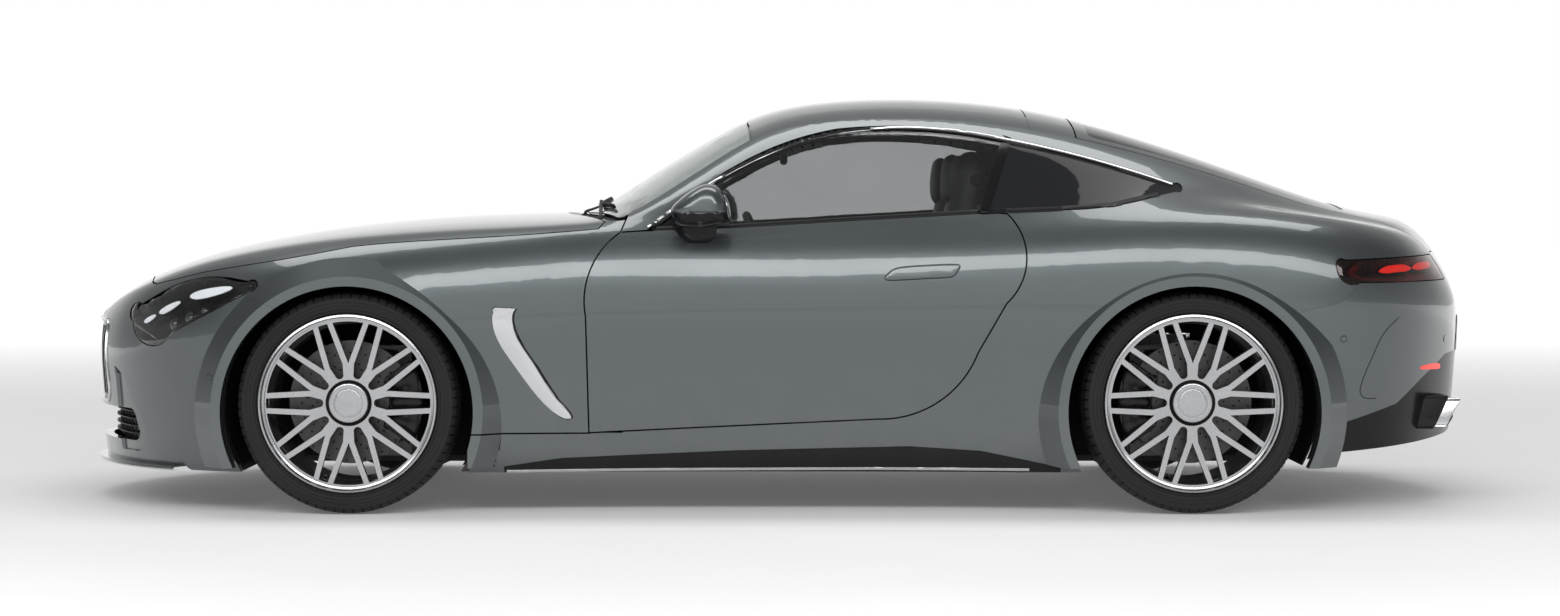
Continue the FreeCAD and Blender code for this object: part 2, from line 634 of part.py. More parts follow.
def make_side_skirt():
    region = side_prism(SKIRT, 0.0, inner_y=300)
    return solids_of(panel(region, FRAME_WALL))


def make_door():
    """Outer skin, and a smaller box behind it that holds glass, lock and lining."""
    whole = panel(side_prism(DOOR, -SHUT_GAP / 2, inner_y=300), DOOR_WALL)
    rim = side_prism(DOOR, 0.0, inner_y=200).cut(side_prism(DOOR, -LEDGE_REACH - 10, inner_y=190))
    channel = door_glass_region(LEDGE_CLEAR).cut(body_at(GLASS_DEPTH + GLASS_WALL + LEDGE_CLEAR))
    return solids_of(whole.cut(channel).cut(rim.common(body_at(DOOR_SKIN))))


def divided(region, front):
    """The part of a side-glass region ahead of the divider, or behind it."""
    top_x = DIVIDER_X + DIVIDER_LEAN * (1300 - DIVIDER_Z)
    low_x = DIVIDER_X + DIVIDER_LEAN * (850 - DIVIDER_Z)
    side = -DIVIDER_WIDTH / 2 if front else DIVIDER_WIDTH / 2
    far = -900 if front else 1600
    cutter = [(low_x + side, 850), (top_x + side, 1300), (far, 1300), (far, 850)]
    return region.common(side_prism(cutter, 0.0, inner_y=190, outer_y=OUTSIDE_Y + 10))


def door_glass_region(grow):
    """Frameless door glass: inside the trim above, and down into the door below."""
    clear = GLASS_TRIM + SHUT_GAP - grow
    region = side_prism(SIDE_GLASS, -clear, inner_y=200)
    low = [(x, z - GLASS_IN_DOOR) for x, z in reversed(GLASS_LOW[2:])]
    foot = [(low[0][0] - 262, low[0][1] - 10)] + low
    foot = foot + [(708, 985), (263, 965), (-140, 945), (-402, 935)]
    region = region.fuse(side_prism(foot, grow, inner_y=200))
    return divided(region, True)


def make_door_glass():
    return solids_of(panel(door_glass_region(0.0), GLASS_WALL, GLASS_DEPTH))


def make_quarter_glass():
    region = divided(side_prism(SIDE_GLASS, -SEAM_GAP, inner_y=200), False)
    return solids_of(panel(region, GLASS_WALL, GLASS_DEPTH + 0.3))


def make_window_trim():
    """Bright strip along the roof rail, round the pointed end of the side glass."""
    ring = side_prism(SIDE_GLASS, -SEAM_GAP, inner_y=200)
    ring = ring.cut(side_prism(SIDE_GLASS, -GLASS_TRIM, inner_y=190))
    low = [(-480, 800), (-425, 921), (-140, 925), (263, 955), (708, 978), (900, 990),
           (1090, 1006), (1225, 1034), (1262, 1046), (1400, 1046), (1400, 800)]
    ring = ring.cut(side_prism(low, 0.0, inner_y=180, outer_y=OUTSIDE_Y + 10))
    return solids_of(panel(ring, GLASS_DEPTH + TRIM_PROUD, -TRIM_PROUD))


def make_screen():
    return solids_of(panel(plan_prism(SCREEN, 0.0, bottom=800), GLASS_WALL, GLASS_DEPTH))


def make_roof():
    return solids_of(panel(plan_prism(ROOF, 0.0, bottom=1000), ROOF_WALL))


def make_roof_rear():
    return solids_of(panel(plan_prism(ROOF_REAR, 0.0, bottom=1000), ROOF_WALL))


def make_tailgate():
    region = plan_prism(HATCH, -SHUT_GAP / 2, bottom=834)
    shape = panel(region, ROOF_WALL).cut(plan_prism(REAR_GLASS, SEAM_GAP, bottom=700))
    return solids_of(shape)


def make_rear_glass():
    return solids_of(panel(plan_prism(REAR_GLASS, 0.0, bottom=700), GLASS_WALL, GLASS_DEPTH))


def make_rear_bumper():
    region = side_prism(REAR_SPLIT).cut(side_prism(DIFFUSER, SEAM_GAP))
    region = region.cut(side_prism(TAIL_LAMP, SEAM_GAP, inner_y=TAIL_LAMP_INNER_Y))
    region = region.cut(plan_prism(HATCH, SHUT_GAP / 2, bottom=832))
    shape = panel(region, PANEL_WALL).fuse(flares(side_prism(REAR_SPLIT)))
    return with_mirror_image(arches(shape))


def make_diffuser():
    region = side_prism(DIFFUSER).cut(side_prism(UNDER_TAIL, 1.0))
    shape = arches(panel(region, PANEL_WALL)).cut(tailpipe(-1, LEDGE_CLEAR, 300.0))
    return with_mirror_image(shape)


def make_headlamp():
    region = side_prism(HEADLAMP, 0.0, inner_y=HEADLAMP_INNER_Y + 1)
    region = region.cut(plan_prism(HOOD, SHUT_GAP / 2 + 1, bottom=300))
    return solids_of(panel(region, 60.0, 1.0))


def make_tail_lamp():
    region = side_prism(TAIL_LAMP, 0.0, inner_y=TAIL_LAMP_INNER_Y + 1)
    return solids_of(panel(region, 60.0, 1.0))


# ---------------------------------------------------------------- structure under the panels
FLOOR_Z = 131.0
FLOOR_WALL = 20.0
FIREWALL_X = -700.0
LUGGAGE_Z = 560.0
COWL_DEPTH = 14.0
COWL_WALL = 26.0
JACK_X = (-780.0, 790.0)
JACK_Y = 770.0
JACK_RADIUS = 34.0
JACK_DEPTH = 9.0


def wells(shape, inner_y, radius=LINER_RADIUS + LINER_WALL + 0.5):
    """Cuts the four wheel wells out of a shape."""
    for _, x, _ in wheel_places():
        for side in (-1, 1):
            centre = Vector(x, side * inner_y if side < 0 else OUTSIDE_Y, WHEEL_CENTRE_Z)
            shape = shape.cut(Part.makeCylinder(radius, OUTSIDE_Y - inner_y, centre, Vector(0, -1, 0)))
    return shape


def make_liners():
    """Front and rear wheel arch liner of the left side: a barrel and its inner wall."""
    found = []
    for _, x, _ in wheel_places():
        outer_radius = LINER_RADIUS + LINER_WALL
        place = Vector(x, -OUTSIDE_Y, WHEEL_CENTRE_Z)
        drum = Part.makeCylinder(outer_radius, OUTSIDE_Y - LINER_INNER_Y, place, Vector(0, 1, 0))
        inside = Part.makeCylinder(LINER_RADIUS, OUTSIDE_Y - LINER_INNER_Y - LINER_WALL, place,
                                   Vector(0, 1, 0))
        slot = block(x - 165, x + 165, -LINER_INNER_Y - 100, -LINER_INNER_Y + 100, 0, 560)
        shell = drum.cut(inside).cut(slot)
        shell = shell.cut(below(-3000, 3000, FLOOR_Z + FLOOR_WALL + 0.3))
        found.append(shell.common(body_at(FRAME_WALL + 0.5)))
    return Part.makeCompound(found)


def make_floor():
    """Underbody: one tray that reaches the panels all round."""
    middle = block(along(-985), along(920), -OUTSIDE_Y, OUTSIDE_Y, FLOOR_Z, FLOOR_Z + FLOOR_WALL)
    ends = block(along(-2300), along(2290), -OUTSIDE_Y, OUTSIDE_Y, FLOOR_Z, FLOOR_Z + FLOOR_WALL)
    tray = middle.common(body_at(FRAME_WALL + 0.4))
    tray = tray.fuse(ends.common(body_at(FRAME_WALL + 0.4)))
    under = side_prism(UNDER_TAIL, FLOOR_WALL)
    tray = tray.cut(under).cut(mirrored(under))
    firewall = block(FIREWALL_X, FIREWALL_X + 12, -760, 760, FLOOR_Z, 1000)
    firewall = firewall.common(body_at(COWL_DEPTH + COWL_WALL + LEDGE_CLEAR))
    back_x = along(960)
    bulkhead = block(back_x, back_x + 12, -OUTSIDE_Y, OUTSIDE_Y, FLOOR_Z, LUGGAGE_Z)
    shelf = block(back_x, along(2180), -OUTSIDE_Y, OUTSIDE_Y, LUGGAGE_Z, LUGGAGE_Z + 12)
    rear = bulkhead.fuse(shelf).common(body_at(FRAME_WALL + 0.4))
    shape = tray.fuse(firewall).fuse(rear)
    for x in JACK_X:
        for y in (-JACK_Y, JACK_Y):
            shape = shape.fuse(Part.makeCylinder(JACK_RADIUS, JACK_DEPTH + 2,
                                                 Vector(along(x), y, FLOOR_Z - JACK_DEPTH)))
    return wells(shape, LINER_INNER_Y)


ENGINE = (-1560.0, -860.0, 300.0, 250.0, 800.0)
AXIS_Y = 795.0
KNUCKLE_LOW = 215.0
KNUCKLE_HIGH = 500.0
BALL_RADIUS = 20.0
HUB_RADIUS = 58.0
DISC_IN, DISC_OUT = 10.0, 44.0
DISC_RADIUS = 198.0
DISC_HAT_RADIUS = 84.0
HUB_FACE = 88.0
CALIPER_INNER = DISC_RADIUS - 66.0
CALIPER_OUTER = DISC_RADIUS + 34.0
CALIPER_SPREAD = 34.0
CALIPER_PROUD = 13.0
RUNNING_GAP = 3.0


def make_engine():
    x0, x1, half_width, z0, z1 = ENGINE
    return block(x0, x1, -half_width, half_width, z0, z1)


def control_arm(x, y_from, y_to, z_from, z_to, spread):
    """A wishbone: two round bars from the frame to one ball joint."""
    ball = Vector(x, -y_to, z_to)
    arm = Part.makeSphere(BALL_RADIUS, ball)
    for side in (-1, 1):
        root = Vector(x + side * spread, -y_from, z_from)
        run = ball - root
        arm = arm.fuse(Part.makeCylinder(13.0, run.Length, root, run))
    return arm


def make_subframe(x, engine_stands):
    """A cross member with both lower and upper wishbones."""
    beam = block(x - 190, x + 190, -430, 430, FLOOR_Z + FLOOR_WALL + 0.3, 235)
    beam = beam.cut(block(x - 140, x + 140, -200, 200, FLOOR_Z, 300))
    if engine_stands:
        for side in (-1, 1):
            beam = beam.fuse(block(x - 60, x + 60, side * 250 - 40, side * 250 + 40, 200, ENGINE[3]))
    for side in (-1, 1):
        tower = block(x - 150, x + 150, side * 445 - 25, side * 445 + 25, FLOOR_Z + FLOOR_WALL + 0.3, 520)
        tower = tower.cut(block(x - 90, x + 90, side * 450 - 50, side * 450 + 50, 270, 440))
        beam = beam.fuse(tower)
    arms = control_arm(x, 450, AXIS_Y, 210, KNUCKLE_LOW - BALL_RADIUS - LEDGE_CLEAR, 120)
    arms = arms.fuse(control_arm(x, 450, AXIS_Y, 490, KNUCKLE_HIGH + BALL_RADIUS + LEDGE_CLEAR, 100))
    return beam.fuse(arms).fuse(mirrored(arms))


def caliper(x, wheel_y, around):
    """A brake caliper over the disc, centred at an angle in the wheel's plane."""
    y_in = wheel_y + DISC_IN - 34
    y_out = wheel_y + DISC_OUT + CALIPER_PROUD
    ring = Part.makeCylinder(CALIPER_OUTER, y_out - y_in, Vector(x, -y_out, WHEEL_CENTRE_Z), Vector(0, 1, 0))
    bore = Part.makeCylinder(CALIPER_INNER, y_out - y_in, Vector(x, -y_out, WHEEL_CENTRE_Z), Vector(0, 1, 0))
    slot = Part.makeCylinder(DISC_RADIUS + 5, DISC_OUT - DISC_IN + 2 * RUNNING_GAP,
                             Vector(x, -wheel_y - DISC_OUT - RUNNING_GAP, WHEEL_CENTRE_Z), Vector(0, 1, 0))
    body = ring.cut(bore).cut(slot)
    reach = 400.0
    spread = math.radians(CALIPER_SPREAD)
    tip = [Vector(x, -y_out - 5, WHEEL_CENTRE_Z)]
    for side in (-1, 1):
        angle = math.radians(around) + side * spread
        tip.append(Vector(x + reach * math.cos(angle), -y_out - 5, WHEEL_CENTRE_Z + reach * math.sin(angle)))
    wedge = Part.Face(Part.makePolygon(tip + [tip[0]])).extrude(Vector(0, y_out - y_in + 10, 0))
    return body.common(wedge)


def make_knuckle(x, wheel_y, around):
    """Upright with its bearing housing, ball joint ears and caliper."""
    y_face = wheel_y + DISC_IN - RUNNING_GAP
    low = Vector(x, -AXIS_Y, KNUCKLE_LOW)
    post = Part.makeCylinder(26, KNUCKLE_HIGH - KNUCKLE_LOW, low, Vector(0, 0, 1))
    housing = Part.makeCylinder(HUB_RADIUS + 14, y_face - AXIS_Y + 30, Vector(x, -y_face, WHEEL_CENTRE_Z),
                                Vector(0, 1, 0))
    bracket = block(x, x + 150, -y_face + 4, -AXIS_Y + 10, WHEEL_CENTRE_Z - 70, WHEEL_CENTRE_Z + 70)
    turn = FreeCAD.Placement(Vector(0, 0, 0), FreeCAD.Rotation(Vector(0, 1, 0), -around),
                             Vector(x, 0, WHEEL_CENTRE_Z))
    bracket.Placement = turn
    body = post.fuse(housing).fuse(bracket).fuse(caliper(x, wheel_y, around))
    return solids_of(body.removeSplitter())


# ---------------------------------------------------------------- wheels
SPOKES = 10
POCKET_ROOT = 128.0
POCKET_RIM = RIM_RADIUS - 22.0
FACE_SET_BACK = 26.0
POCKET_RIM_ANGLE = 10.9
SLOT_ROOT = 94.0
SLOT_FOOT = 81.0
SLOT_ROOT_WIDTH = 27.0
SLOT_WAIST = 124.0
SLOT_WAIST_WIDTH = 43.0
SLOT_RIM_WIDTH = 31.0
SPOKE_DEEP = 80.0
BARREL_RADIUS = RIM_RADIUS - 32.0
SPOKE_BACK = 84.0
CAP_RADIUS = 64.0
CAP_RING = 74.0
BULGE_SHARE = 25.0 / 55.0
TYRE_WALL_RADIUS = RIM_RADIUS - 16.0


def wheel_profile(points):
    """A closed profile of (radius, height) turned about the wheel's axis, the local Z."""
    edges = []
    here = Vector(points[0][0], 0, points[0][1])
    for entry in points[1:] + [points[0]]:
        if isinstance(entry[0], tuple):
            middle = Vector(entry[0][0], 0, entry[0][1])
            end = Vector(entry[1][0], 0, entry[1][1])
            edges.append(Part.Arc(here, middle, end).toShape())
        else:
            end = Vector(entry[0], 0, entry[1])
            edges.append(Part.makeLine(here, end))
        here = end
    return Part.Face(Part.Wire(edges)).revolve(Vector(0, 0, 0), Vector(0, 0, 1), 360)


def polar(radius, degrees):
    return Vector(radius * math.cos(math.radians(degrees)), radius * math.sin(math.radians(degrees)), 0)


def pocket_between_arms(middle):
    """Outline of the open V between the two arms of one spoke."""
    rim_left = polar(POCKET_RIM, middle + POCKET_RIM_ANGLE)
    rim_right = polar(POCKET_RIM, middle - POCKET_RIM_ANGLE)
    apex = polar(POCKET_ROOT, middle)
    near_left = apex + (rim_left - apex) * 0.04
    near_right = apex + (rim_right - apex) * 0.04
    edges = [Part.Arc(near_right, polar(POCKET_ROOT + 1.5, middle), near_left).toShape(),
             Part.makeLine(near_left, rim_left),
             Part.Arc(rim_left, polar(POCKET_RIM, middle), rim_right).toShape(),
             Part.makeLine(rim_right, near_right)]
    return Part.Face(Part.Wire(edges))


def slot_between_spokes(middle):
    """Outline of the long slot between two neighbouring spokes, round at its foot."""
    side = Vector(-math.sin(math.radians(middle)), math.cos(math.radians(middle)), 0)
    root, waist, rim = (polar(r, middle) for r in (SLOT_ROOT, SLOT_WAIST, POCKET_RIM))
    left = [root + side * (SLOT_ROOT_WIDTH / 2), waist + side * (SLOT_WAIST_WIDTH / 2),
            rim + side * (SLOT_RIM_WIDTH / 2)]
    right = [rim - side * (SLOT_RIM_WIDTH / 2), waist - side * (SLOT_WAIST_WIDTH / 2),
             root - side * (SLOT_ROOT_WIDTH / 2)]
    edges = [Part.makeLine(left[0], left[1]), Part.makeLine(left[1], left[2]),
             Part.Arc(left[2], polar(POCKET_RIM + 1, middle), right[0]).toShape(),
             Part.makeLine(right[0], right[1]), Part.makeLine(right[1], right[2]),
             Part.Arc(right[2], polar(SLOT_FOOT, middle), left[0]).toShape()]
    return Part.Face(Part.Wire(edges))


def make_rim(width):
    """One turned blank, hub to flange, with ten Y spokes left between milled pockets."""
    h = width / 2 - 4
    face = h - FACE_SET_BACK
    blank = wheel_profile([
        (0, DISC_OUT), (CAP_RING + 4, DISC_OUT), (CAP_RING + 4, SPOKE_DEEP), (POCKET_RIM - 34, SPOKE_BACK),
        (POCKET_RIM, SPOKE_BACK + 4), (POCKET_RIM, h - 90), (BARREL_RADIUS, h - 112), (BARREL_RADIUS, -h),
        (RIM_RADIUS, -h), (RIM_RADIUS, -h + 9), (TYRE_WALL_RADIUS, -h + 16), (TYRE_WALL_RADIUS, -h + 50),
        (BARREL_RADIUS + 8, -h + 80), (BARREL_RADIUS + 8, -5), (TYRE_WALL_RADIUS, 16),
        (TYRE_WALL_RADIUS, h - 16), (RIM_RADIUS, h - 9), (RIM_RADIUS, h), (RIM_RADIUS - 6, h + 2),
        (RIM_RADIUS - 13, face - 1), ((170, (face + HUB_FACE + 12) / 2 + 2), (CAP_RING, HUB_FACE + 12)),
        (CAP_RING, HUB_FACE + 4), (CAP_RADIUS + 3, HUB_FACE), (CAP_RADIUS, HUB_FACE),
        (CAP_RADIUS, HUB_FACE + 14), (CAP_RADIUS - 4, HUB_FACE + 18), (0, HUB_FACE + 18)])
    step = 360.0 / SPOKES
    lift = Vector(0, 0, h - 88)
    cuts = []
    for k in range(SPOKES):
        for pocket in (pocket_between_arms(90 + step * k), slot_between_spokes(72 + step * k)):
            pocket.translate(lift)
            cuts.append(pocket.extrude(Vector(0, 0, 200)))
    return blank.cut(cuts)


def make_tyre(width):
    h = width / 2
    rim_h = width / 2 - 4
    bead = TYRE_WALL_RADIUS + 0.3
    shoulder = TYRE_RADIUS - 15
    bulge = RIM_RADIUS + 1 + (shoulder - RIM_RADIUS - 1) * BULGE_SHARE
    return wheel_profile([
        (bead, -rim_h + 16), (RIM_RADIUS + 1, -rim_h + 8.6), ((bulge, -h), (shoulder, -h + 12)),
        ((TYRE_RADIUS - 5, -h + 22), (TYRE_RADIUS - 2.5, -h + 40)),
        ((TYRE_RADIUS, 0), (TYRE_RADIUS - 2.5, h - 40)), ((TYRE_RADIUS - 5, h - 22), (shoulder, h - 12)),
        ((bulge, h), (RIM_RADIUS + 1, rim_h - 8.6)), (bead, rim_h - 16),
        (bead, rim_h - 44), (bead + 12, rim_h - 40), (bead + 12, -rim_h + 46), (bead, -rim_h + 50)])


def make_disc():
    """Brake disc with its hat and the hub behind it."""
    return wheel_profile([
        (0, DISC_IN - RUNNING_GAP + 0.3), (40, DISC_IN - RUNNING_GAP + 0.3), (40, DISC_IN + 3),
        (DISC_HAT_RADIUS, DISC_IN + 3), (DISC_HAT_RADIUS + 6, DISC_IN), (DISC_RADIUS, DISC_IN),
        (DISC_RADIUS, DISC_OUT - 6), (DISC_HAT_RADIUS + 6, DISC_OUT - 6), (DISC_HAT_RADIUS, DISC_OUT - 0.3),
        (0, DISC_OUT - 0.3)])


def on_axle(shape, x, y, left=True):
    """Turns a wheel part from its own axis onto the car, outer face away from the car."""
    turned = shape.copy()
    turned.rotate(Vector(0, 0, 0), Vector(1, 0, 0), 90 if left else -90)
    turned.translate(Vector(x, -y if left else y, WHEEL_CENTRE_Z))
    return turned


# ---------------------------------------------------------------- cabin
SEAT_Y = 370.0
SEAT_FLOOR = 151.3
DASH_HALF_WIDTH = 690.0


def profile_xz(points, half_width, y=0.0):
    """A side profile in real x and z, pushed half_width either way of y."""
    face = outline_face(points, lambda x, z: Vector(x, y - half_width, z))
    return face.extrude(Vector(0, 2 * half_width, 0))


def make_seat(y):
    """Sports chair: cushion, tall shell with built-in head restraint, on two runners."""
    cushion = profile_xz([(-130, 300), ((-150, 360), (-110, 392)), (140, 366), (330, 352), (350, 270),
                          (-100, 262)],
                         250, y)
    back = profile_xz([(300, 330), (330, 370), (478, 760), ((500, 850), (528, 940)), (560, 1130),
                       ((590, 1176), (640, 1160)),
                       ((668, 1080), (652, 960)), (610, 800), (520, 420), (420, 320)], 250, y)
    waist = block(300, 700, y - 260, y - 170, 930, 1300).fuse(block(300, 700, y + 170, y + 260, 930, 1300))
    back = back.cut(waist)
    body = cushion.fuse(back)
    for side in (-1, 1):
        body = body.fuse(block(-60, 330, y + side * 170 - 18, y + side * 170 + 18, SEAT_FLOOR, 275))
    return solids_of(body)


def make_rear_seats():
    found = []
    for side in (-1, 1):
        y = side * 235.0
        cushion = profile_xz([(700, 330), (690, 410), (900, 380), (930, 300)], 190, y)
        back = profile_xz([(880, 372), (930, 300), (958, 300), (958, 900), (920, 910)], 190, y)
        foot = block(740, 900, y - 150, y + 150, SEAT_FLOOR, 331)
        found.append(cushion.fuse(back).fuse(foot))
    return Part.makeCompound(found)


def make_dashboard():
    profile = [(FIREWALL_X + 12.3, 560), (FIREWALL_X + 12.3, 868), ((-540, 890), (-380, 868)), (-300, 830),
               ((-276, 790), (-300, 740)), (-330, 640), (-420, 560)]
    board = profile_xz(profile, DASH_HALF_WIDTH).common(body_at(DOOR_WALL + 30))
    console = profile_xz([(-560, SEAT_FLOOR), (-560, 570), (-330, 600), (-240, 520), (480, 470), (540, 400),
                          (540, SEAT_FLOOR)], 105)
    shape = board.fuse(console)
    column_end = steering_point(-110)
    column = Part.makeCylinder(34, 200, column_end, steering_axis() * -1)
    return solids_of(shape.fuse(column))


STEERING_CENTRE = (-40.0, -370.0, 800.0)
STEERING_TILT = 24.0
STEERING_RADIUS = 180.0


def steering_axis():
    tilt = math.radians(STEERING_TILT)
    return Vector(math.cos(tilt), 0, math.sin(tilt))


def steering_point(distance):
    return Vector(*STEERING_CENTRE) + steering_axis() * distance


def make_steering_wheel():
    ring = Part.makeTorus(STEERING_RADIUS - 15, 15)
    hub = Part.makeCylinder(62, 44, Vector(0, 0, -34))
    shaft = Part.makeCylinder(20, 80, Vector(0, 0, -109.5))
    wheel = ring.fuse([hub, shaft])
    for angle in (0, 180, 250, 290):
        spoke = block(40, STEERING_RADIUS - 12, -16, 16, -9, 7)
        spoke.rotate(Vector(0, 0, 0), Vector(0, 0, 1), angle)
        wheel = wheel.fuse(spoke)
    wheel.rotate(Vector(0, 0, 0), Vector(0, 0, 1), -90)
    wheel.rotate(Vector(0, 0, 0), Vector(0, 1, 0), 90 - STEERING_TILT)
    wheel.translate(Vector(*STEERING_CENTRE))
    return solids_of(wheel)


# ---------------------------------------------------------------- outside fittings
TAILPIPE_X = 2236.0
TAILPIPE_Y = 560.0
TAILPIPE_WIDTH = 210.0
TAILPIPE_Z = (262.0, 352.0)
MIRROR_X = (-352.0, -160.0)
MIRROR_Z = (928.0, 1050.0)
MIRROR_Y = (880.0, 1046.0)


def make_mirror():
    """Door mirror: an egg-shaped housing on a foot that stands on the door."""
    x0, x1 = MIRROR_X
    z0, z1 = MIRROR_Z
    y0, y1 = MIRROR_Y
    sections = []
    for y, share in ((y0, 0.72), (y0 + 50, 0.94), (y0 + 110, 0.96), (y1, 0.66)):
        cx, cz = (x0 + x1) / 2 + (1 - share) * 20, (z0 + z1) / 2
        a, b = (x1 - x0) / 2 * share, (z1 - z0) / 2 * share
        front, back = Vector(cx - a, -y, cz - 6), Vector(cx + a, -y, cz - 10)
        top, low = Vector(cx + 10, -y, cz + b), Vector(cx + 14, -y, cz - b)
        sections.append(Part.Wire([Part.Arc(front, Vector(cx - a * 0.66, -y, cz + b * 0.74), top).toShape(),
                                   Part.Arc(top, Vector(cx + a * 0.86, -y, cz + b * 0.82), back).toShape(),
                                   Part.Arc(back, Vector(cx + a * 0.88, -y, cz - b * 0.80), low).toShape(),
                                   Part.Arc(low, Vector(cx - a * 0.72, -y, cz - b * 0.70), front).toShape()]))
    housing = Part.makeLoft(sections, True)
    foot = profile_xz([(-318, 860), (-318, 960), (-240, 960), (-218, 905), (-226, 870)], 70, -860)
    foot = foot.cut(body_at(-TRIM_PROUD - 0.5))
    return solids_of(housing.fuse(solids_of(foot, 5000)))


def make_cowl():
    """The black tray between hood and windscreen, with two wipers lying in it."""
    region = plan_prism(COWL, 0.0, bottom=850)
    region = region.cut(plan_prism(HOOD, SHUT_GAP)).cut(plan_prism(SCREEN, SEAM_GAP))
    return solids_of(panel(region, COWL_WALL, COWL_DEPTH), 5000)


def make_grille():
    """Blades standing across the nose opening, on a frame."""
    region = front_opening(GRILLE_HALF_WIDTH - LEDGE_CLEAR, GRILLE_BOTTOM + LEDGE_CLEAR,
                           GRILLE_TOP - LEDGE_CLEAR, 60.0)
    holes = front_opening(GRILLE_HALF_WIDTH - 16, GRILLE_BOTTOM + 14, GRILLE_TOP - 14, 50.0)
    pitch = (2 * GRILLE_HALF_WIDTH - 20) / GRILLE_BLADES
    nose = along(-DRAWN_LENGTH / 2)
    for k in range(GRILLE_BLADES):
        y = (k - (GRILLE_BLADES - 1) / 2) * pitch
        holes = holes.cut(block(nose - 100, nose + 400, y - 6, y + 6, 200, 700))
    return solids_of(panel(region.cut(holes), GRILLE_WALL, GRILLE_DEPTH))


def tailpipe(side, grow, length):
    """One flattened trapezoid tail pipe, wider at its foot."""
    y = side * TAILPIPE_Y
    wide, narrow = TAILPIPE_WIDTH / 2 + grow, TAILPIPE_WIDTH / 2 - 26 + grow
    low, high = TAILPIPE_Z[0] - grow, TAILPIPE_Z[1] + grow
    x = TAILPIPE_X - length + grow
    places = [(-wide, low + 18), ((-wide + 6, low + 5), (-wide + 20, low)), (wide - 20, low),
              ((wide - 6, low + 5), (wide, low + 18)), (narrow + 2, high - 14),
              ((narrow - 6, high - 4), (narrow - 18, high)), (-narrow + 18, high),
              ((-narrow + 6, high - 4), (-narrow - 2, high - 14))]
    face = outline_face(places, lambda v, z: Vector(x, y + v, z))
    return face.extrude(Vector(length, 0, 0))


def make_exhaust():
    """Silencer across the tail with a wide bright tail pipe on each side."""
    box = block(1880, 2040, -640, 640, 190, 310)
    for side in (-1, 1):
        tip = tailpipe(side, 0.0, TAILPIPE_X - 2020)
        tip = tip.cut(tailpipe(side, -5.0, TAILPIPE_X - 2060).translated(Vector(10, 0, 0)))
        box = box.fuse(tip)
        box = box.fuse(block(1940, 1970, side * 420 - 20, side * 420 + 20, 300, LUGGAGE_Z - LEDGE_CLEAR))
    return solids_of(box)


def make_roof_panels():
    return Part.makeCompound([make_roof(), make_roof_rear()])


def make_seats():
    return Part.makeCompound([make_seat(-SEAT_Y), make_seat(SEAT_Y)])


WHOLE = (("hood", make_hood), ("front_bumper", make_front_bumper), ("windscreen", make_screen),
         ("roof", make_roof_panels), ("tailgate", make_tailgate), ("rear_window", make_rear_glass),
         ("rear_bumper", make_rear_bumper), ("diffuser", make_diffuser), ("floor_pan", make_floor),
         ("engine", make_engine), ("dashboard", make_dashboard), ("cowl_panel", make_cowl),
         ("steering_wheel", make_steering_wheel), ("front_seats", make_seats),
         ("rear_seats", make_rear_seats), ("grille", make_grille), ("exhaust", make_exhaust))
# One node per side.
SIDES = (("side_frame", make_side_frame), ("door", make_door), ("door_glass", make_door_glass),
         ("door_mirror", make_mirror))
# Both sides in one node.
TWINS = (("front_fenders", make_fender), ("fender_vents", make_fender_vent),
("side_skirts", make_side_skirt),
         ("quarter_windows", make_quarter_glass), ("window_trims", make_window_trim),
         ("headlamps", make_headlamp), ("tail_lamps", make_tail_lamp), ("wheel_liners", make_liners))


def save_twins(name, shape):
    save(name, Part.makeCompound(shape.Solids + mirrored(shape).Solids))


def build_wheel(place, x, y):
    """Rim, tyre and brake disc of both wheels on one axle."""
    width = FRONT_TYRE_WIDTH if place == "front" else REAR_TYRE_WIDTH
    for kind, shape in (("rim", make_rim(width)), ("tyre", make_tyre(width)), ("brake_disc", make_disc())):
        save(place + "_" + kind + "_left", on_axle(shape, x, y))
        save(place + "_" + kind + "_right", on_axle(shape, x, y, False))


def build_all():
    os.makedirs("parts", exist_ok=True)
    for name, maker in WHOLE:
        save(name, maker())
    for name, maker in SIDES:
        save_pair(name, maker())
    for name, maker in TWINS:
        save_twins(name, maker())
    for place, x, y in wheel_places():
        save(place + "_subframe", make_subframe(x, place == "front"))
        build_wheel(place, x, y)
    save_pair("front_knuckle", make_knuckle(along(DRAWN_FRONT_AXLE), FRONT_WHEEL_Y, 0.0))
    save_twins("rear_hub_carriers", make_knuckle(along(DRAWN_REAR_AXLE), REAR_WHEEL_Y, 180.0))


if __name__ == "__main__":
    build_all()
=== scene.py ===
import json
import math
from functools import cache

import bmesh
import bpy
from mathutils import Matrix, Vector
from mathutils.bvhtree import BVHTree
from mathutils.geometry import delaunay_2d_cdt

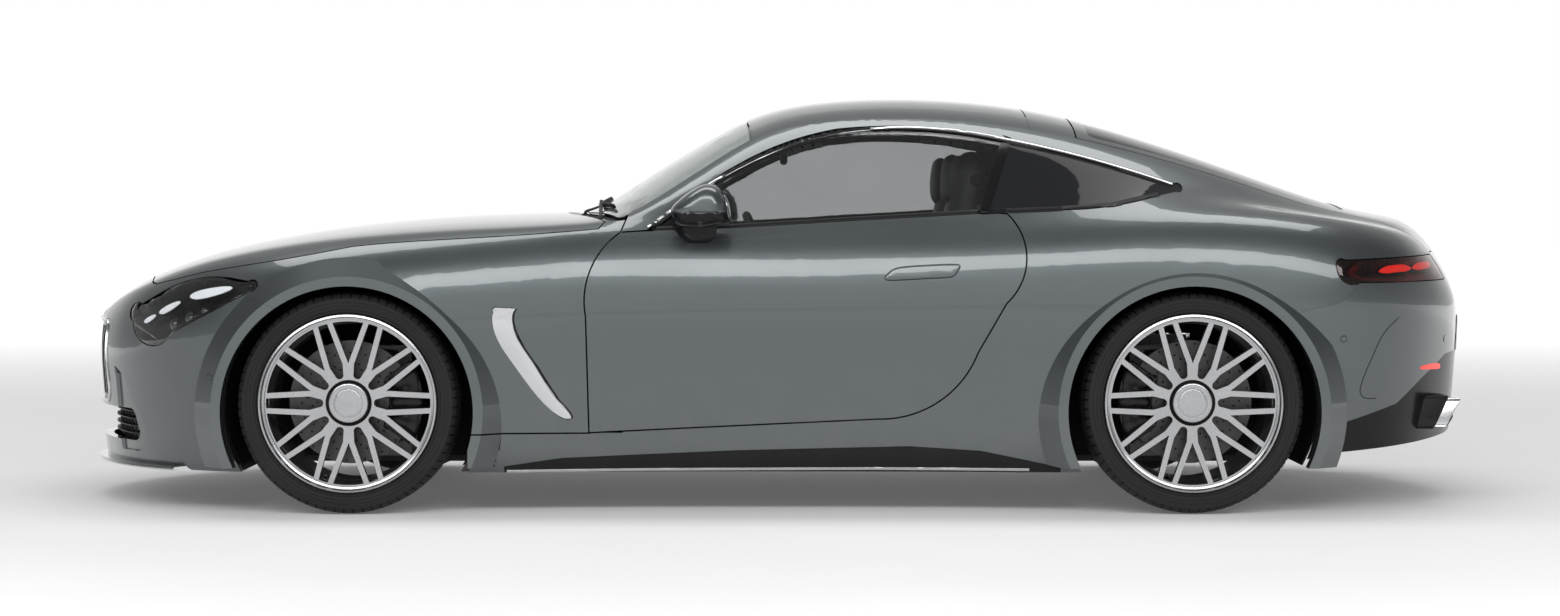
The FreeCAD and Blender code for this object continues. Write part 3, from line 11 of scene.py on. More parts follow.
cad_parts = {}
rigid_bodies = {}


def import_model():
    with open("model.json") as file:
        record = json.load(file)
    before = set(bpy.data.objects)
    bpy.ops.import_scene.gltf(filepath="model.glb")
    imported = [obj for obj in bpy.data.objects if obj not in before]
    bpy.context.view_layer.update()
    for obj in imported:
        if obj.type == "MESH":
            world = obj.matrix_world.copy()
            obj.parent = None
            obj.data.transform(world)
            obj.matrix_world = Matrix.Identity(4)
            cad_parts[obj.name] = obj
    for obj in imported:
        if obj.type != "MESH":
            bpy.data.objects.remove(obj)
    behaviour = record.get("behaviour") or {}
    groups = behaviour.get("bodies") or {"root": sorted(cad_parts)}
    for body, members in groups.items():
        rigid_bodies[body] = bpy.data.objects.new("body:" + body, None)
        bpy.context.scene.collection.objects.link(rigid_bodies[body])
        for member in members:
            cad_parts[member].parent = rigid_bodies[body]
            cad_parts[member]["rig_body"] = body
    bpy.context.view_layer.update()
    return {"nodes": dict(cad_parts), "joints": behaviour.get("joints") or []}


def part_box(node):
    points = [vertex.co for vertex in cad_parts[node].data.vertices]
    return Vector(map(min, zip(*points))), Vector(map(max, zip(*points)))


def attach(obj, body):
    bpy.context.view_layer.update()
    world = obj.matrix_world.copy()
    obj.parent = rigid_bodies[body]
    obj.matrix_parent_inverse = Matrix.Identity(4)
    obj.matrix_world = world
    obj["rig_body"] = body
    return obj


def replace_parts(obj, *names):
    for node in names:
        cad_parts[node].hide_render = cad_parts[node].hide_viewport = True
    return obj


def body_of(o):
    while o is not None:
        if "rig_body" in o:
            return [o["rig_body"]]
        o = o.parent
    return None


bl_info = {
    "name": "Fastback coupe",
    "version": (1, 0, 0),
    "blender": (4, 5, 0),
    "location": "View3D > Sidebar > Coupe",
    "description": "Finishes and fittings of a two-door fastback coupe around its packed frame",
    "category": "Add Mesh",
}

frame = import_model()
NODES = frame["nodes"]
SIDES = ("left", "right")
ENDS = ("front", "rear")
UP = Vector((0, 0, 1))
FAR = 1.4                       # further out than the sides of the car, to look at them from


# ---------- places
def wheel_centre(end):
    """The middle of the left hub on its spin axis."""
    name = "spin_" + end + "_left"
    return Vector(next(j["pos_m"] for j in frame["joints"] if j["name"] == name))


def skin_tree(meshes):
    """The joined surface of some meshes, for finding points on it."""
    points, faces = [], []
    for mesh in meshes:
        base = len(points)
        points.extend(v.co.copy() for v in mesh.vertices)
        faces.extend([base + i for i in p.vertices] for p in mesh.polygons)
    return BVHTree.FromPolygons(points, faces)


def surface_of(*names):
    return skin_tree([NODES[name].data for name in names])


# ---------- shader helpers
def set_inputs(node, values):
    for label, value in values.items():
        node.inputs[label].default_value = value


def new_material(name, values):
    """A material, its tree and its shader, with plain numbers on the shader's own sockets."""
    material = bpy.data.materials.new(name)
    material.use_nodes = True
    tree = material.node_tree
    set_inputs(tree.nodes["Principled BSDF"], values)
    return material, tree, tree.nodes["Principled BSDF"]


def add_node(tree, kind, **settings):
    node = tree.nodes.new("ShaderNode" + kind)
    for key, value in settings.items():
        setattr(node, key, value)
    return node


def object_place(tree):
    return add_node(tree, "TexCoord").outputs["Object"]


def noise(tree, scale, detail=4.0, rough=0.5, stretch=(1, 1, 1)):
    fit = add_node(tree, "Mapping")
    fit.inputs["Scale"].default_value = stretch
    tree.links.new(object_place(tree), fit.inputs["Vector"])
    node = add_node(tree, "TexNoise")
    set_inputs(node, {"Scale": scale, "Detail": detail, "Roughness": rough})
    tree.links.new(fit.outputs["Vector"], node.inputs["Vector"])
    return node.outputs["Fac"]


def ramp(tree, source, stops):
    node = add_node(tree, "ValToRGB")
    for k, (place, colour) in enumerate(stops):
        stop = node.color_ramp.elements[k] if k < 2 else node.color_ramp.elements.new(place)
        stop.position = place
        stop.color = colour
    tree.links.new(source, node.inputs["Fac"])
    return node.outputs["Color"]


def emboss(tree, skin, height, strength, distance):
    """Raises a shader's surface by a height."""
    node = add_node(tree, "Bump")
    set_inputs(node, {"Strength": strength, "Distance": distance})
    tree.links.new(height, node.inputs["Height"])
    tree.links.new(node.outputs["Normal"], skin.inputs["Normal"])


def grey(value):
    return (value, value, value, 1.0)


def shade(colour, factor):
    return (colour[0] * factor, colour[1] * factor, colour[2] * factor, 1.0)


def make_group(name, inputs, outputs):
    """An empty shader group with number sockets: inputs by name with their defaults, and outputs."""
    group = bpy.data.node_groups.new(name, "ShaderNodeTree")
    for label, default in inputs.items():
        socket = group.interface.new_socket(label, in_out="INPUT", socket_type="NodeSocketFloat")
        socket.default_value = default
    for label in outputs:
        group.interface.new_socket(label, in_out="OUTPUT", socket_type="NodeSocketFloat")
    return group, group.nodes.new("NodeGroupInput"), group.nodes.new("NodeGroupOutput")


def place_group(tree, name, **values):
    node = add_node(tree, "Group", node_tree=shared(name))
    set_inputs(node, values)
    return node


def feed(tree, item, socket):
    """A socket takes a plain number or colour, or another node's output."""
    if isinstance(item, (int, float, tuple)):
        socket.default_value = item
    else:
        tree.links.new(item, socket)


def value_math(tree, operation, first, second):
    node = add_node(tree, "Math", operation=operation)
    feed(tree, first, node.inputs[0])
    feed(tree, second, node.inputs[1])
    return node.outputs["Value"]


def colour_mix(tree, factor, first, second, blend="MIX"):
    node = add_node(tree, "Mix", data_type="RGBA", blend_type=blend)
    for key, item in (("Factor_Float", factor), ("A_Color", first), ("B_Color", second)):
        feed(tree, item, next(s for s in node.inputs if s.identifier == key))
    return next(s for s in node.outputs if s.identifier == "Result_Color")


def two_tone(tree, factor, colour, first, second):
    """A colour that wanders between two shades of itself."""
    return colour_mix(tree, factor, shade(colour, first), shade(colour, second))


def range_map(tree, source, low, high, out_low, out_high):
    node = add_node(tree, "MapRange")
    set_inputs(node, {"From Min": low, "From Max": high, "To Min": out_low, "To Max": out_high})
    tree.links.new(source, node.inputs["Value"])
    return node.outputs["Result"]


def vary_gloss(tree, skin, source, least, most, low=0.3, high=0.7):
    """Roughness that goes from least to most as the source goes from low to high."""
    tree.links.new(range_map(tree, source, low, high, least, most), skin.inputs["Roughness"])


def dusted(tree, base, top, amount, dirt):
    """A colour under road dust that reaches up to a height."""
    film = place_group(tree, "dust", Top=top, Amount=amount)
    return colour_mix(tree, film.outputs["Mask"], base, (*dirt, 1.0))


# ---------- shared effects
def dust_group():
    """Road dust that thins out with height and gathers in patches."""
    group, start, end = make_group("road_dust", {"Top": 0.5, "Amount": 0.3}, ("Mask",))
    split = add_node(group, "SeparateXYZ")
    group.links.new(object_place(group), split.inputs[0])
    share = value_math(group, "DIVIDE", split.outputs["Z"], start.outputs["Top"])
    fall = value_math(group, "SUBTRACT", 1.0, share)
    gathered = range_map(group, noise(group, 9.0, 6.0, 0.6), 0.35, 0.7, 0.35, 1.0)
    thinned = value_math(group, "MULTIPLY", fall, gathered)
    mask = value_math(group, "MULTIPLY", thinned, start.outputs["Amount"])
    clamp = add_node(group, "Clamp")
    group.links.new(mask, clamp.inputs["Value"])
    group.links.new(clamp.outputs["Result"], end.inputs["Mask"])
    return group


def grain_group():
    """Pebbled grain of moulded plastic or leather: its height, and its hollows for painted shade."""
    group, start, end = make_group("pebble_grain", {"Scale": 900.0}, ("Height", "Hollow"))
    cells = add_node(group, "TexVoronoi", feature="DISTANCE_TO_EDGE")
    group.links.new(object_place(group), cells.inputs["Vector"])
    group.links.new(start.outputs["Scale"], cells.inputs["Scale"])
    height = range_map(group, cells.outputs["Distance"], 0.0, 0.25, 0.0, 1.0)
    fine = value_math(group, "MULTIPLY", noise(group, 1400.0, 3.0), 0.25)
    group.links.new(value_math(group, "ADD", height, fine), end.inputs["Height"])
    group.links.new(value_math(group, "SUBTRACT", 1.0, height), end.inputs["Hollow"])
    return group


def mottle_group():
    """Slow uneven tone, for colour and roughness that are never quite even."""
    group, start, end = make_group("mottle", {"Scale": 6.0}, ("Value",))
    node = add_node(group, "TexNoise")
    node.inputs["Detail"].default_value = 5.0
    group.links.new(object_place(group), node.inputs["Vector"])
    group.links.new(start.outputs["Scale"], node.inputs["Scale"])
    group.links.new(node.outputs["Fac"], end.inputs["Value"])
    return group


@cache
def shared(name):
    """A shader group, built at its first use."""
    return {"dust": dust_group, "grain": grain_group, "mottle": mottle_group}[name]()


# ---------- finishes
def paint_finish(name, colour):
    """Metallic paint under clear coat: fine flakes, a little road film low down."""
    material, tree, skin = new_material(name, {"Metallic": 0.72, "Coat Weight": 1.0, "Coat Roughness": 0.03,
                                               "Coat IOR": 1.5})
    cells = add_node(tree, "TexVoronoi")
    cells.inputs["Scale"].default_value = 2600.0
    tree.links.new(object_place(tree), cells.inputs["Vector"])
    flake = range_map(tree, cells.outputs["Distance"], 0.0, 0.7, 0.0, 1.0)
    base = dusted(tree, two_tone(tree, flake, colour, 1.22, 0.86), 0.55, 0.16, (0.3, 0.29, 0.27))
    tree.links.new(base, skin.inputs["Base Color"])
    vary_gloss(tree, skin, place_group(tree, "mottle", Scale=3.0).outputs["Value"], 0.3, 0.36)
    return material


def glass_finish(name, tint, rough=0.0, gleam=0.5, clear=1.0):
    """Glass with a faint smear; clear is how much light goes through it."""
    material, tree, skin = new_material(name, {"Specular IOR Level": gleam, "Transmission Weight": clear,
                                               "IOR": 1.45})
    smear = place_group(tree, "mottle", Scale=5.0).outputs["Value"]
    vary_gloss(tree, skin, smear, rough, rough + 0.02, 0.4)
    tree.links.new(two_tone(tree, smear, tint, 1.0, 0.94), skin.inputs["Base Color"])
    return material


def gloss_finish(name, colour, rough, metallic=0.0, coat=0.0, dust=0.0, gleam=0.5):
    """A smooth hard finish with faint uneven gloss and settled dust."""
    material, tree, skin = new_material(name, {"Specular IOR Level": gleam, "Metallic": metallic,
                                               "Coat Weight": coat, "Coat Roughness": 0.04})
    tone = place_group(tree, "mottle", Scale=7.0).outputs["Value"]
    base = two_tone(tree, tone, colour, 0.88, 1.12)
    if dust:
        base = dusted(tree, base, 0.6, dust, (0.26, 0.25, 0.23))
    tree.links.new(base, skin.inputs["Base Color"])
    vary_gloss(tree, skin, tone, rough * 0.85, rough * 1.2)
    return material


def glow_finish(name, colour, power):
    """Light-guide plastic that gives off a little light of its own, ribbed inside."""
    material, tree, skin = new_material(name, {"Emission Strength": power})
    ribs = noise(tree, 160.0, 2.0, 0.4, stretch=(1, 1, 0.2))
    tone = two_tone(tree, ribs, colour, 0.82, 1.0)
    tree.links.new(tone, skin.inputs["Base Color"])
    tree.links.new(tone, skin.inputs["Emission Color"])
    vary_gloss(tree, skin, ribs, 0.12, 0.24)
    return material


def grained_finish(name, colour, rough, scale, depth, dust=0.0, sheen=0.0, gleam=0.5):
    """Moulded plastic, leather or felt with a pebbled grain; the grain's hollows are painted darker as
    painted shade.
    """
    material, tree, skin = new_material(name, {"Specular IOR Level": gleam, "Sheen Weight": sheen})
    tone = place_group(tree, "mottle", Scale=4.0).outputs["Value"]
    grain = place_group(tree, "grain", Scale=scale)
    # painted shade: the colour darkens in the grain's hollows
    hollow_shade_share = value_math(tree, "MULTIPLY", grain.outputs["Hollow"], 0.35)
    base = colour_mix(tree, hollow_shade_share, two_tone(tree, tone, colour, 0.86, 1.14), shade(colour, 0.55))
    if dust:
        base = dusted(tree, base, 0.6, dust, (0.24, 0.23, 0.21))
    tree.links.new(base, skin.inputs["Base Color"])
    vary_gloss(tree, skin, tone, rough * 0.9, rough * 1.1)
    emboss(tree, skin, grain.outputs["Height"], 0.5, depth)
    return material


def turned_finish(name, colour):
    """Diamond-turned alloy: bright metal with fine rings from the lathe."""
    material, tree, skin = new_material(name, {"Metallic": 1.0, "Coat Weight": 0.3})
    tone = place_group(tree, "mottle", Scale=9.0).outputs["Value"]
    lines = noise(tree, 420.0, 2.0, 0.5, stretch=(1.0, 0.04, 1.0))
    base = dusted(tree, two_tone(tree, tone, colour, 0.9, 1.1), 0.7, 0.05, (0.2, 0.19, 0.18))
    tree.links.new(base, skin.inputs["Base Color"])
    vary_gloss(tree, skin, lines, 0.2, 0.32)
    emboss(tree, skin, lines, 0.12, 0.0001)
    return material


def cast_finish(name, colour, rough, metallic=1.0):
    """Sand-cast metal: coarse skin, darker hollows."""
    material, tree, skin = new_material(name, {"Metallic": metallic})
    coarse = noise(tree, 260.0, 6.0, 0.7)
    tone = ramp(tree, coarse, [(0.3, shade(colour, 0.7)), (0.7, shade(colour, 1.15))])
    tree.links.new(dusted(tree, tone, 0.8, 0.4, (0.16, 0.14, 0.12)), skin.inputs["Base Color"])
    vary_gloss(tree, skin, coarse, rough - 0.08, rough + 0.1)
    emboss(tree, skin, coarse, 0.4, 0.0006)
    return material


# finish: (slot in the record, maker, colour, the maker's other values); the paint's colour is a setting
FINISHES = {
    "body_paint": ("body_paint", paint_finish, None, {}),
    "clear_glass": ("glass", glass_finish, (0.82, 0.87, 0.86), {}),
    "tinted_glass": ("glass", glass_finish, (0.56, 0.57, 0.575), {}),
    "dark_glass": ("dark_glass", glass_finish, (0.022, 0.023, 0.025),
                   dict(rough=0.03, gleam=0.08, clear=0.3)),
    "lamp_glass": ("lamp_front", glass_finish, (0.95, 0.96, 0.97), {}),
    "smoked_glass": ("lamp_rear", glass_finish, (0.62, 0.42, 0.42), {}),
    "lamp_dark": ("lamp_front", gloss_finish, (0.01, 0.011, 0.012), dict(rough=0.3, gleam=0.3)),
    "lamp_glow": ("lamp_front", glow_finish, (0.86, 0.88, 0.9), dict(power=0.55)),
    # red_glow lights the tail lamp blocks, and also the rear reflector as a painted glow
    "red_glow": ("lamp_rear", glow_finish, (0.9, 0.035, 0.02), dict(power=1.1)),
    "red_dark": ("lamp_rear", gloss_finish, (0.16, 0.012, 0.012), dict(rough=0.2)),
    "screen_glass": ("dash", gloss_finish, (0.01, 0.011, 0.016), dict(rough=0.05, coat=1.0)),
    "mirror_glass": ("chrome", gloss_finish, (0.85, 0.87, 0.88), dict(rough=0.02, metallic=1.0)),
    "bright_trim": ("chrome", gloss_finish, (0.62, 0.63, 0.64), dict(rough=0.17, metallic=1.0)),
    "gloss_black": ("black_trim", gloss_finish, (0.007, 0.007, 0.008),
                    dict(rough=0.16, dust=0.03, gleam=0.22)),
    "satin_black": ("black_trim", gloss_finish, (0.009, 0.009, 0.01), dict(rough=0.4, dust=0.04, gleam=0.2)),
    "soot": ("black_trim", gloss_finish, (0.006, 0.006, 0.006), dict(rough=0.8, gleam=0.1)),
    "plate_white": ("black_trim", gloss_finish, (0.62, 0.62, 0.6), dict(rough=0.35)),
    "rubber": ("black_plastic", gloss_finish, (0.008, 0.008, 0.008), dict(rough=0.6, gleam=0.2)),
    "caliper_black": ("brake_iron", gloss_finish, (0.008, 0.008, 0.009), dict(rough=0.25, gleam=0.35)),
    "wheel_silver": ("wheel_silver", turned_finish, (0.45, 0.455, 0.465), {}),
    "wheel_grey": ("wheel_silver", gloss_finish, (0.16, 0.165, 0.17),
                   dict(rough=0.32, metallic=0.8, coat=0.3)),
    "leather": ("leather", grained_finish, (0.1, 0.1, 0.105), dict(rough=0.45, scale=420.0, depth=0.0005,
                                                                     sheen=0.1)),
    "leather_dark": ("leather", grained_finish, (0.02, 0.02, 0.021),
                     dict(rough=0.5, scale=420.0, depth=0.0004,
                                                                            gleam=0.35)),
    "stitching": ("leather", grained_finish, (0.34, 0.34, 0.33), dict(rough=0.7, scale=2400.0, depth=0.0001)),
    "carpet": ("dash", grained_finish, (0.014, 0.014, 0.015), dict(rough=0.95, scale=1500.0, depth=0.002,
                                                                   sheen=0.25, gleam=0.1)),
    "lining": ("dash", grained_finish, (0.022, 0.022, 0.023), dict(rough=0.9, scale=1900.0, depth=0.0006,
                                                                   sheen=0.2, gleam=0.1)),
    "cabin_plastic": ("dash", grained_finish, (0.03, 0.03, 0.031),
                      dict(rough=0.55, scale=900.0, depth=0.0003)),
    "grained_plastic": ("black_plastic", grained_finish, (0.009, 0.009, 0.01),
                        dict(rough=0.6, scale=700.0, depth=0.0004, dust=0.05, gleam=0.2)),
    "tyre_rubber": ("tyre", grained_finish, (0.01, 0.01, 0.01),
                    dict(rough=0.65, scale=500.0, depth=0.0003, dust=0.05, gleam=0.3)),
    "iron": ("brake_iron", cast_finish, (0.085, 0.085, 0.09), dict(rough=0.42)),
    "cast_alloy": ("chassis", cast_finish, (0.42, 0.42, 0.43), dict(rough=0.5)),
    "underseal": ("underbody", cast_finish, (0.03, 0.03, 0.03), dict(rough=0.8, metallic=0.0)),
}


@cache
def finish(name):
    """A material, made at its first use."""
    _, maker, colour, values = FINISHES[name]
    return maker(name, colour or tuple(bpy.context.scene.coupe_paint.colour), **values)


RIM_FACE_TURN = 0.86            # a rim's faces turned outward more than this are bright
GAP_REACH = 0.045               # widest space between two panels whose inner faces get painted shade
NODE_FINISHES = {
    "body_paint": ["hood", "front_bumper", "roof", "tailgate", "rear_bumper", "side_frame_left",
                   "side_frame_right", "door_left", "door_right", "front_fenders", "door_mirror_left",
                   "door_mirror_right"],
    "gloss_black": ["side_skirts", "diffuser", "grille"],
    "clear_glass": ["windscreen"],
    "tinted_glass": ["door_glass_left", "door_glass_right"],
    "dark_glass": ["quarter_windows", "rear_window"],
    "bright_trim": ["window_trims", "exhaust", "fender_vents"],
    "grained_plastic": ["cowl_panel", "wheel_liners"],
    "underseal": ["floor_pan"],
    "cast_alloy": ["engine", "front_subframe", "rear_subframe"],
    "caliper_black": ["front_knuckle_left", "front_knuckle_right", "rear_hub_carriers"],
    "cabin_plastic": ["dashboard", "steering_wheel"],
    "leather": ["front_seats", "rear_seats"],
    "lamp_glass": ["headlamps"],
    "smoked_glass": ["tail_lamps"],
    "wheel_silver": [end + "_rim_" + side for end in ENDS for side in SIDES],
    "tyre_rubber": [end + "_tyre_" + side for end in ENDS for side in SIDES],
    "iron": [end + "_brake_disc_" + side for end in ENDS for side in SIDES],
}


def coat_nodes():
    for name, nodes in NODE_FINISHES.items():
        for node in nodes:
            data = NODES[node].data
            data.materials.clear()
            data.materials.append(finish(name))
    darken_gaps()
    for node in NODE_FINISHES["wheel_silver"]:
        data = NODES[node].data
        data.materials.append(finish("wheel_grey"))
        for face in data.polygons:
            face.material_index = 0 if abs(face.normal.y) > RIM_FACE_TURN else 1


def darken_gaps():
    """Faces of body-coloured panels that look at another panel close by are made satin black: painted shade
    in the shut lines.
    """
    painted = [n for n in NODE_FINISHES["body_paint"] if "mirror" not in n]
    around = surface_of(*painted, "headlamps", "tail_lamps", "windscreen", "rear_window", "cowl_panel",
                        "diffuser", "side_skirts")
    for node in painted:
        data = NODES[node].data
        # painted shade: a satin black slot for the faces inside the gaps between panels
        data.materials.append(finish("satin_black"))
        for face in data.polygons:
            hit, _, _, _ = around.ray_cast(face.center + face.normal * 0.0005, face.normal, GAP_REACH)
            if hit is not None:
                face.material_index = 1


# ---------- mesh helpers
def link_piece(name, mesh, finish_name, body="body"):
    """A finished mesh becomes a piece that rides on a body."""
    names = finish_name if isinstance(finish_name, tuple) else (finish_name,)
    piece = bpy.data.objects.new(name, mesh)
    bpy.context.scene.collection.objects.link(piece)
    mesh.materials.clear()
    for item in names:
        mesh.materials.append(finish(item))
    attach(piece, body)
    return piece


def as_mesh(bm, name, sharp=35.0):
    """Closes a bmesh into a mesh with smooth faces and sharp edges where it turns."""
    bmesh.ops.remove_doubles(bm, verts=bm.verts, dist=1e-6)
    bmesh.ops.recalc_face_normals(bm, faces=bm.faces)
    mesh = bpy.data.meshes.new(name)
    bm.to_mesh(mesh)
    bm.free()
    for face in mesh.polygons:
        face.use_smooth = True
    mesh.set_sharp_from_angle(angle=math.radians(sharp))
    return mesh


def mirrored(mesh):
    other = mesh.copy()
    other.transform(Matrix.Scale(-1.0, 4, (0, 1, 0)))
    other.flip_normals()
    return other


def add_piece(name, bm, finish_name, body="body", sharp=35.0):
    return link_piece(name, as_mesh(bm, name, sharp), finish_name, body)


def mirror_pair(name, mesh, finish_name, body):
    """A left piece and its mirror image; {} in the body's name is the side."""
    return (link_piece(name + "_left", mesh, finish_name, body.format("left")),
            link_piece(name + "_right", mirrored(mesh), finish_name, body.format("right")))


def add_pair(name, bm, finish_name, body="body", sharp=35.0):
    return mirror_pair(name, as_mesh(bm, name, sharp), finish_name, body)


def replace_both(pair, node):
    """Each piece of a pair stands for the node of its side; {} in the node's name is the side."""
    for side, piece in zip(SIDES, pair):
        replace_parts(piece, node.format(side))


def turns(steps):
    """Evenly spaced angles once round."""
    return [2 * math.pi * k / steps for k in range(steps)]


def add_rings(bm, rings, caps=True, loop=False):
    """Skins a row of rings of points, all with the same count; a loop joins the last to the first."""
    rows = [[bm.verts.new(p) for p in ring] for ring in rings]
    count = len(rings[0])
    for first, second in zip(rows, rows[1:] + rows[:1] if loop else rows[1:]):
        for k in range(count):
            n = (k + 1) % count
            bm.faces.new((first[k], first[n], second[n], second[k]))
    if caps:
        bm.faces.new(rows[0])
        bm.faces.new(list(reversed(rows[-1])))
    return bm


def loft(rings):
    return add_rings(bmesh.new(), rings)


def about_axle(centre, radius, angle, y):
    """A point round a wheel's axle, y along it."""
    return (centre[0] + radius * math.cos(angle), centre[1] + y, centre[2] + radius * math.sin(angle))


def turned(profile, centre, steps=96, bm=None):
    """A closed profile of (radius, y) turned about the wheel axis through centre."""
    bm = bm or bmesh.new()
    add_rings(bm, [[about_axle(centre, r, a, y) for r, y in profile] for a in turns(steps)], False, True)
    bmesh.ops.remove_doubles(bm, verts=bm.verts, dist=1e-6)
    return bm


def pour(made, bm, place):
    """A finished bmesh is placed and added to another one."""
    made.transform(place)
    mesh = bpy.data.meshes.new("part")
    made.to_mesh(mesh)
    made.free()
    bm.from_mesh(mesh)
    bpy.data.meshes.remove(mesh)


def spline_span(points, steps):
    """Catmull-Rom points from the second of four points up to the third, in any dimension."""
    found = []
    for step in range(steps):
        t = step / steps
        found.append(tuple(0.5 * (2 * q + (r - p) * t + (2 * p - 5 * q + 4 * r - s) * t * t
                                  + (3 * q - p - 3 * r + s) * t ** 3) for p, q, r, s in zip(*points)))
    return found


def curve_through(points, per_span=6):
    """A smooth row of points through an open row of points."""
    ends = [points[0], *points, points[-1]]
    spans = [spline_span(ends[k:k + 4], per_span) for k in range(len(points) - 1)]
    return [p for span in spans for p in span] + [tuple(points[-1])]


def ring_through(points, per_span=3):
    """A smooth closed outline through some points."""
    count = len(points)
    spans = [spline_span([points[(k + i - 1) % count] for i in range(4)], per_span) for k in range(count)]
    return [Vector(p) for span in spans for p in span]


def evenly(points, gap):
    """Points at about the same spacing along a polyline, ends kept."""
    points = [Vector(p) for p in points]
    lengths = [0.0]
    for a, b in zip(points, points[1:]):
        lengths.append(lengths[-1] + (b - a).length)
    count = max(2, round(lengths[-1] / gap) + 1)
    found, k = [], 0
    for step in range(count):
        goal = lengths[-1] * step / (count - 1)
        while k < len(points) - 2 and lengths[k + 1] < goal:
            k += 1
        span = lengths[k + 1] - lengths[k]
        found.append(points[k].lerp(points[k + 1], (goal - lengths[k]) / span if span else 0.0))
    return found


def heading(row, k):
    """The direction of a row of points at one of them."""
    return (row[min(k + 1, len(row) - 1)] - row[max(k - 1, 0)]).normalized()


def tube(points, radius, sides=12, bm=None, flat=1.0, caps=True):
    """A round or flattened bar along a row of 3-D points; radius may be one per point."""
    points = [Vector(p) for p in points]
    radii = radius if isinstance(radius, (list, tuple)) else [radius] * len(points)
    across = None
    rings = []
    for k, place in enumerate(points):
        ahead = heading(points, k)
        if across is None:
            across = (ahead.orthogonal() if abs(ahead.z) > 0.9 else ahead.cross(UP)).normalized()
        across = (across - ahead * across.dot(ahead)).normalized()
        rise = ahead.cross(across)
        rings.append([place + across * (radii[k] * math.cos(a)) + rise * (radii[k] * flat * math.sin(a))
                      for a in turns(sides)])
    return add_rings(bm or bmesh.new(), rings, caps)


def rounded_block(low, high, radius, bm=None, turn=None, segments=3):
    """A block with rolled edges between two corners, turned about its middle."""
    bm = bm or bmesh.new()
    low, high = Vector(low), Vector(high)
    size, middle = high - low, (low + high) / 2
    made = bmesh.ops.create_cube(bm, size=1.0)["verts"]
    for v in made:
        v.co = v.co * size
    edges = list({e for v in made for e in v.link_edges})
    result = bmesh.ops.bevel(bm, geom=edges, offset=min(radius, min(size) * 0.49), segments=segments,
                             profile=0.5, affect="EDGES")
    verts = {v for f in result["faces"] for v in f.verts} | {v for v in made if v.is_valid}
    for v in verts:
        v.co = (turn @ v.co if turn else v.co) + middle
    return bm


# ---------- points on the skin
# view: (direction of the look, its starting point for two coordinates a and b)
VIEWS = {"left": ((0, 1, 0), lambda a, b: (a, -FAR, b)),
         "right": ((0, -1, 0), lambda a, b: (a, FAR, b)),
         "front": ((1, 0, 0), lambda a, b: (-2.8, a, b)),
         "rear": ((-1, 0, 0), lambda a, b: (2.8, a, b)),
         "top": ((0, 0, -1), lambda a, b: (a, b, 1.8)),
         "nose_corner": ((0.6, 0.8, 0), lambda a, b: (0.8 * a - 2.4, -0.6 * a - 3.2, b)),
         "tail_corner": ((-0.6, 0.8, 0), lambda a, b: (0.8 * a + 2.4, 0.6 * a - 3.2, b))}


def seen_from(view, place):
    """A point's two coordinates in a view."""
    _, start = VIEWS[view]
    base = Vector(start(0, 0))
    across = Vector(start(1, 0)) - base
    rise = Vector(start(0, 1)) - base
    return Vector(((Vector(place) - base).dot(across), (Vector(place) - base).dot(rise)))


def next_of(loop):
    """Each item's follower in a closed loop."""
    return loop[1:] + loop[:1]


def outline_in_view(points, faces, view):
    """The longest border loop of an open piece of skin, in a view's coordinates."""
    free = set()
    for face in faces:
        for i, j in zip(face, next_of(face)):
            if (j, i) in free:
                free.remove((j, i))
            else:
                free.add((i, j))
    ends = dict(free)
    loops = []
    while ends:
        start, nxt = ends.popitem()
        loop = [start]
        while nxt in ends:
            loop.append(nxt)
            nxt = ends.pop(nxt)
        loops.append(loop)
    return [seen_from(view, points[i]) for i in max(loops, key=len)]


def on_skin(skin, view, a, b):
    """Where a straight look from that side meets the skin, and its normal there."""
    direction, start = VIEWS[view]
    origin, ahead = Vector(start(a, b)), Vector(direction)
    place, normal, _, _ = skin.ray_cast(origin, ahead)
    if place is None:
        place, normal, _, _ = skin.find_nearest(origin + ahead * 0.5)
    if normal.dot(ahead) > 0:
        normal = -normal
    return place, normal


def strip(skin, view, line, width, proud, sunk=0.004, bm=None, gap=0.012, taper=0.0):
    """A moulding that follows the skin along a line, rounded across."""
    edge = proud * 0.65                     # height of the rounded border
    section = ((-1, -sunk), (-1, edge), (-0.72, proud), (0.72, proud), (1, edge), (1, -sunk))
    centre = evenly(line, gap)
    rings = []
    for k, place in enumerate(centre):
        ahead = heading(centre, k)
        half = width / 2 * (1.0 - taper * (2 * k / (len(centre) - 1) - 1) ** 4)
        ring = []
        for u, lift in section:
            point, normal = on_skin(skin, view, place.x - ahead.y * u * half, place.y + ahead.x * u * half)
            ring.append(point + normal * lift)
        rings.append(ring)
    return add_rings(bm or bmesh.new(), rings)


def inward(line, reach=1):
    """The direction into a closed outline at each of its points."""
    turn = 1.0 if sum(p.cross(q) for p, q in zip(line, next_of(line))) > 0 else -1.0
    found = []
    for k in range(len(line)):
        ahead = (line[(k + reach) % len(line)] - line[k - reach]).normalized()
        found.append(Vector((-ahead.y, ahead.x)) * turn)
    return found


def within(p, border):
    """Whether a point lies inside a closed outline."""
    hits = False
    for a, b in zip(border, next_of(border)):
        if (a.y > p.y) != (b.y > p.y) and p.x < (b.x - a.x) * (p.y - a.y) / (b.y - a.y) + a.x:
            hits = not hits
    return hits


def grid_points(border, grid, margin):
    """Points of a square grid inside a closed outline, at least a margin from it."""
    low = Vector((min(p.x for p in border), min(p.y for p in border)))
    high = Vector((max(p.x for p in border), max(p.y for p in border)))
    found = []
    y = low.y + grid / 2
    while y < high.y:
        x = low.x + grid / 2
        while x < high.x:
            p = Vector((x, y))
            if within(p, border) and min((p - q).length for q in border) > margin:
                found.append(p)
            x += grid
        y += grid
    return found


